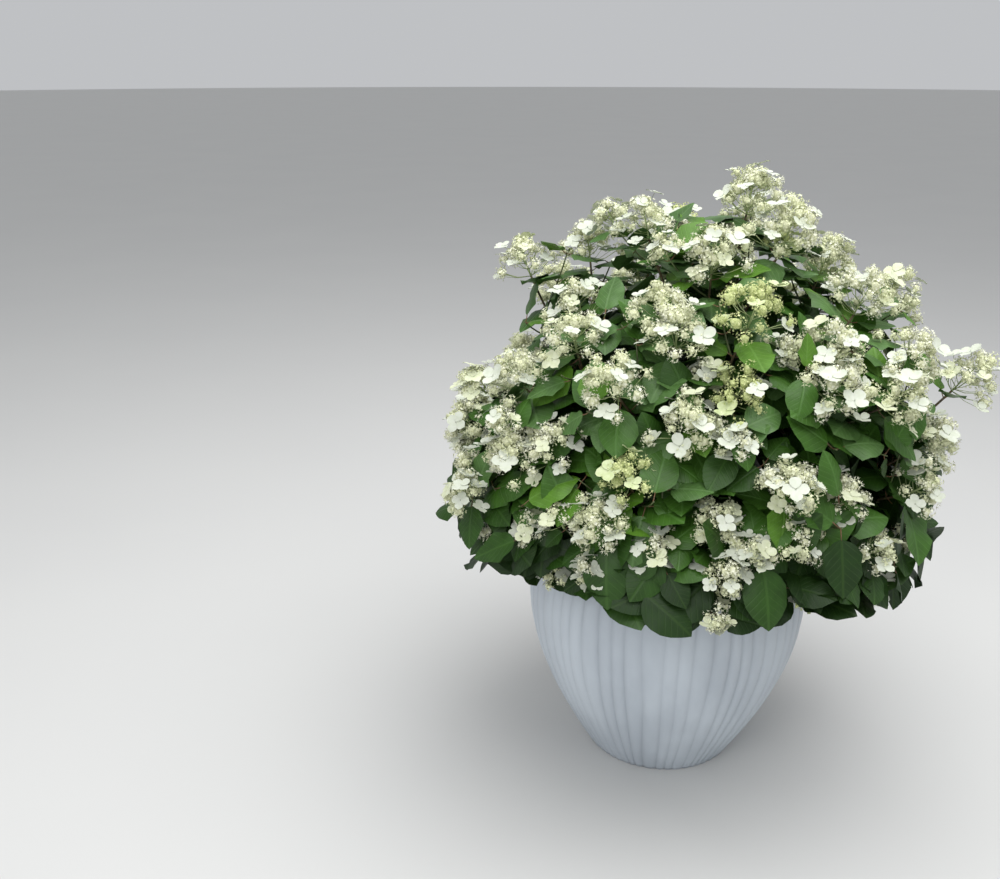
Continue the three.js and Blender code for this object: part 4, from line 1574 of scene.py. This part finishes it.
@dataclass
class Foliage:
    """The leaves of the shrub and the twigs that carry them, grown on from each mass's shoots."""

    MASS_SEED = 3000
    SHOOT_SEED = 5000

    leaf_length: float = 0.094
    stalk_length: float = 0.017
    pair_shares: tuple[float, ...] = (0.15, 0.34, 0.52, 0.68, 0.82, 0.95)
    bough_pair_shares: tuple[float, ...] = (0.1, 0.55, 0.9)
    twig_pair_shares: tuple[float, ...] = (0.5, 0.94)
    twig_shares: tuple[float, ...] = (0.36, 0.6, 0.8)
    twig_lengths: Span = (0.07, 0.06)
    twig_reach: float = 0.93
    bough_shares: tuple[float, ...] = (0.45, 0.6, 0.75, 0.9, 1.0)
    bough_leaf_size: float = 0.85
    shoot_radii: Pair = (0.0031, 0.0019)
    shoot_steps: int = 11
    twig_radii: Pair = (0.0019, 0.0012)
    twig_steps: int = 6
    twig_turn: float = 2.4
    twig_leaf_size: float = 0.88
    stalk_radii: tuple[float, ...] = (0.0011, 0.0009, 0.0008)
    pair_turns: Span = (-0.45, 0.9)
    leaf_tilt: float = 0.34
    stem_radii: tuple[float, ...] = (0.0042, 0.0043, 0.0046, 0.0052, 0.0064, 0.0052)
    leaf_reach: float = 0.9
    skirt_reach: float = 0.98
    skirt_height: float = 0.5
    hem: float = 0.428
    hem_spread: float = 0.05
    hem_dip: float = 0.095
    leaf_sizes: Span = (0.72, 0.46)
    droops: Span = (-0.08, 0.34)
    size_heights: Pair = (0.5, 0.85)
    height_sizes: Pair = (1.04, 0.84)
    vigour_heights: tuple[float, ...] = (0.45, 0.55, 0.68)
    vigours: tuple[float, ...] = (0.54, 0.7, 1.04)
    small_panicles: float = 0.26
    small_heights: tuple[float, ...] = (0.45, 0.58, 0.75, 0.85)
    small_shares: tuple[float, ...] = (0.2, 1.0, 1.0, 0.3)
    small_panicle_depth: float = 0.76
    small_panicle_sizes: Span = (0.42, 0.22)
    scales: tuple[float, ...] = (1.0, 0.8, 0.6)
    shifts: tuple[float, ...] = (0.0, 0.5, -0.5, 1.0, -1.0)
    rises: tuple[float, ...] = (0.45, 0.9, 0.1)
    # painted light and shade on the leaves: the green darkens with depth and low down, and lightens on leaves that
    # face up
    light_steps: tuple[float, ...] = (0.68, 0.86, 1.0)
    lit_share: float = 0.3
    lit_height: float = 0.6
    low_light: float = 3.2
    high_light: float = 0.5
    facing_light: float = 0.12
    light_draws: Span = (-0.16, 0.32)
    panicle: Panicle = field(default_factory=Panicle)

    def grow(self, bed: Bed) -> None:
        """Grows a whole mass: its stem, its shoots and what they carry.

        Args:
            bed: Where the mass's parts are gathered.
        """
        bed.stream = Stream(bed.crown.seed + self.MASS_SEED + round(bed.mass.bearing))
        stem = bezier(bed.crown.stem_line(bed.mass), np.linspace(0, 1, len(self.stem_radii)))
        bed.twigs.add(stem, self.stem_radii, 8, TwigTint.BROWN)
        bough = bezier(bed.crown.bough_line(bed.mass), np.array(self.bough_shares))
        self._add_pairs(bed, bough, self.bough_pair_shares, self.bough_leaf_size)
        for shoot in bed.mass.shoots:
            self._add_shoot(bed, shoot)

    def _add_shoot(self, bed: Bed, shoot: Shoot) -> None:
        """Adds a shoot with its leaves, its side twigs and its panicle.

        Args:
            bed: Where the mass's parts are gathered.
            shoot: The shoot.
        """
        bed.stream = Stream(bed.crown.seed + self.SHOOT_SEED + shoot.number)
        line = bezier(shoot.line, np.linspace(0, 1, self.shoot_steps))
        bed.twigs.add(line, np.linspace(*self.shoot_radii, self.shoot_steps), 6, TwigTint.BROWN)
        self._add_pairs(bed, line, self.pair_shares, 1.0)
        phase = bed.stream.draw(0, 2 * math.pi)
        for number, share in enumerate(self.twig_shares):
            self._add_side_twig(bed, line, share, number * self.twig_turn + phase)
        vigour = float(np.interp(shoot.line[2][2], self.vigour_heights, self.vigours))
        self.panicle.add(bed, shoot.line[2], shoot.axis, shoot.size * vigour)

    def _add_side_twig(self, bed: Bed, line: np.ndarray, share: float, turn: float) -> None:
        """Adds a side twig with two pairs of leaves if it finds room, and with a small panicle on some.

        Args:
            bed: Where the mass's parts are gathered.
            line: The shoot's middle line.
            share: How far along it the twig stands.
            turn: The side that it leaves on, in radians.
        """
        place, along = self._point_on(line, share)
        run = unit(along * 0.75 + spoke_about(along, turn) * 0.8)
        length = bed.stream.draw(*self.twig_lengths)
        tip = place + run * length + UP * 0.012
        if not (bed.has_room(tip[None], self.twig_reach) and bed.is_own(tip[None])):
            return
        twig = bezier((place, place + run * length * 0.55 - UP * 0.008, tip),
                      np.linspace(0, 1, self.twig_steps))
        bed.twigs.add(twig, np.linspace(*self.twig_radii, self.twig_steps), 5, TwigTint.GREEN)
        self._add_pairs(bed, twig, self.twig_pair_shares, self.twig_leaf_size)
        chance = self.small_panicles * np.interp(tip[2], self.small_heights, self.small_shares)
        if bed.crown.depth_of(tip) > self.small_panicle_depth and bed.stream.draw() < chance:
            axis = unit(unit(twig[-1] - twig[-2]) + UP * 0.5)
            self.panicle.add(bed, tip, axis, bed.stream.draw(*self.small_panicle_sizes))

    @staticmethod
    def _point_on(line: np.ndarray, share: float) -> tuple[np.ndarray, np.ndarray]:
        """Finds a place on a line of points.

        Args:
            line: The line.
            share: How far along it.

        Returns:
            The point there and the line's direction.
        """
        at = share * (len(line) - 1)
        low = min(int(at), len(line) - 2)
        return line[low] + (line[low + 1] - line[low]) * (at - low), unit(line[low + 1] - line[low])

    def _add_pairs(self, bed: Bed, line: np.ndarray, shares: tuple[float, ...], size: float) -> None:
        """Adds crossed pairs of leaves along a line.

        Args:
            bed: Where the mass's parts are gathered.
            line: The twig's middle line.
            shares: Where each pair stands.
            size: Their size, 1 for a full one.
        """
        phase = bed.stream.draw(0, math.pi)
        for number, share in enumerate(shares):
            place, along = self._point_on(line, share)
            turn = phase + number * math.pi / 2 + bed.stream.draw(*self.pair_turns)
            full = size * float(np.interp(place[2], self.size_heights, self.height_sizes))
            for half in (0.0, math.pi):
                self._add_leaf(bed, place, along, turn + half, full * bed.stream.draw(*self.leaf_sizes))

    def _add_leaf(self, bed: Bed, place: np.ndarray, along: np.ndarray, turn: float, size: float) -> None:
        """Adds a leaf on its stalk: the first seat that finds room in the mass's wedge and the crown's reach.

        Args:
            bed: Where the mass's parts are gathered.
            place: Where its stalk leaves the twig.
            along: The twig's direction.
            turn: The side that it leaves on, in radians.
            size: Its size, 1 for a full one.
        """
        outward = unit(place - bed.crown.heart)
        droop = bed.stream.draw(*self.droops)
        dip = self.hem_dip * max(0.0, place[0] / math.hypot(place[0], place[1])) ** 6  # the shrub leans to its right
        hem = self.hem - dip + self.hem_spread * bed.stream.draw() ** 2
        tilt = bed.stream.around(self.leaf_tilt)
        for scale, shift, rise in product(self.scales, self.shifts, self.rises):
            line = unit(spoke_about(along, turn + shift) + along * rise - UP * droop)
            root = place + line * self.stalk_length * size * scale
            turned = basis(line, UP * 0.9 + outward * 1.1 + tilt)
            length = self.leaf_length * size * scale
            probe = LeafShape.PROBE * length @ turned.T + root
            lowest = probe[:, 2].min()
            reach = self.skirt_reach if lowest < self.skirt_height else self.leaf_reach
            if lowest < hem or not (bed.is_own(probe) and bed.has_room(probe, reach)):
                continue
            bed.twigs.add(np.array((place, (place + root) / 2 - UP * 0.001, root + line * 0.002)),
                          self.stalk_radii, 4, TwigTint.RED)
            tint = self._tint_for(bed, root + line * length * 0.5, turned[:, 2])
            bed.leaves.add(bed.leaves.pick(bed.stream), turned * length, root, tint)
            return

    def _tint_for(self, bed: Bed, middle: np.ndarray, facing: np.ndarray) -> LeafTint:
        """Picks a leaf's green by painted light: painted shade deep inside the crown and low down, and more painted
        sheen and painted light towards its skin, on top and on leaves that face up.

        Args:
            bed: Where the mass's parts are gathered.
            middle: The leaf's middle.
            facing: The direction that its face looks in.

        Returns:
            The green.
        """
        climb = middle[2] - self.lit_height
        # painted light: the leaf's green is set by its depth, its height and how far it faces up, with a random
        # spread
        light = bed.crown.depth_of(middle) + climb * (self.low_light if climb < 0 else self.high_light)
        light += self.facing_light * facing[2] + bed.stream.draw(*self.light_draws)
        for step, tint in zip(self.light_steps, LeafTint):
            if light < step:
                return tint
        return LeafTint.LIT if bed.stream.draw() < self.lit_share else LeafTint.SHEEN


@dataclass
class Shrub:
    """The whole shrub above its stool: every mass with its leaves, twigs, small florets and large florets."""

    crown: Crown
    pot: Pot
    foliage: Foliage = field(default_factory=Foliage)

    def build(self) -> None:
        """Grows every mass, and joins each kind of part of a mass as one piece that stands for its solid."""
        leaves = [LeafShape().template(*form) for form in LeafShape.FORMS]
        petals = [PetalShape().template(cup) for cup in PetalShape.CUPS]
        bloom = [floret_template(), stamens_template(), heart_template()]
        groups = {"leaves": LeafTint, "petals": PetalTint, "bloom": BloomTint, "twigs": TwigTint}
        finishes = {kind: group.build_all() for kind, group in groups.items()}
        for mass in self.crown.masses:
            bed = Bed(self.crown, self.pot, mass, Scatter(leaves), Scatter(petals), Scatter(bloom))
            self.foliage.grow(bed)
            for kind, materials in finishes.items():
                piece = join(f"{kind}_{mass.name}", getattr(bed, kind).chunks(), materials)
                stand_in(piece, "foliage", f"foliage_{mass.name}")


@dataclass(frozen=True)
class Panel:
    """A square light panel that faces the plant, with its side in metres and its power in watts."""

    name: str
    place: tuple[float, float, float]
    side: float
    power: float

    def build(self, target: tuple[float, float, float]) -> None:
        """Hangs the panel.

        Args:
            target: The point that it faces.
        """
        light = bpy.data.lights.new(self.name, "AREA")
        light.size = self.side
        light.energy = self.power
        lamp = bpy.data.objects.new(self.name, light)
        lamp.location = self.place
        lamp.rotation_euler = (Vector(target) - Vector(self.place)).to_track_quat("-Z", "Y").to_euler()
        bpy.context.scene.collection.objects.link(lamp)


@dataclass
class Studio:
    """The camera at the photo's angle, the pale floor and the soft light."""

    camera_height: float = 1.27
    camera_back: float = 1.8756
    bearing: float = 9.616
    pitch: float = 19.714
    lens: float = 39.13
    sensor: float = 36.0
    floor_radius: float = 40.0
    light_target: tuple[float, float, float] = (0.0, 0.0, 0.6)
    panels: tuple[Panel, ...] = (Panel("sky_panel", (0.4, -0.3, 3.4), 3.4, 118.0),
                                 Panel("front_panel", (-1.4, -3.4, 2.2), 2.4, 40.0))
    sky: Colour = (0.95, 0.97, 1.0)
    sky_strength: float = 0.55

    def build(self) -> None:
        """Makes the camera, the floor and the lights."""
        scene = bpy.context.scene
        camera = bpy.data.objects.new("camera", bpy.data.cameras.new("camera"))
        camera.data.lens = self.lens
        camera.data.sensor_width = self.sensor
        camera.location = (0.0, -self.camera_back, self.camera_height)
        camera.rotation_euler = (math.radians(90 - self.pitch), 0.0, math.radians(self.bearing))
        scene.collection.objects.link(camera)
        scene.camera = camera
        bm = bmesh.new()
        bmesh.ops.create_circle(bm, cap_ends=True, segments=96, radius=self.floor_radius)
        floor = piece_from_bmesh("floor", bm, FloorFinish().build())
        for panel in self.panels:
            panel.build(self.light_target)
        world = bpy.data.worlds.new("soft_sky")
        world.use_nodes = True
        background = world.node_tree.nodes["Background"]
        background.inputs["Color"].default_value = (*self.sky, 1.0)
        background.inputs["Strength"].default_value = self.sky_strength
        scene.world = world
        scene.view_settings.view_transform = "Standard"


def main() -> None:
    """Builds the plant and its studio, and reports each piece."""
    logging.basicConfig(level=logging.INFO, format="%(name)s: %(message)s")
    crown = Crown()
    crown.lay_out()
    crown.deal_shoots()
    pot = Pot()
    pot.build()
    PottingMix().build(pot)
    Canes().build(crown)
    Shrub(crown, pot).build()
    Studio().build()


if __name__ == "__main__":
    main()
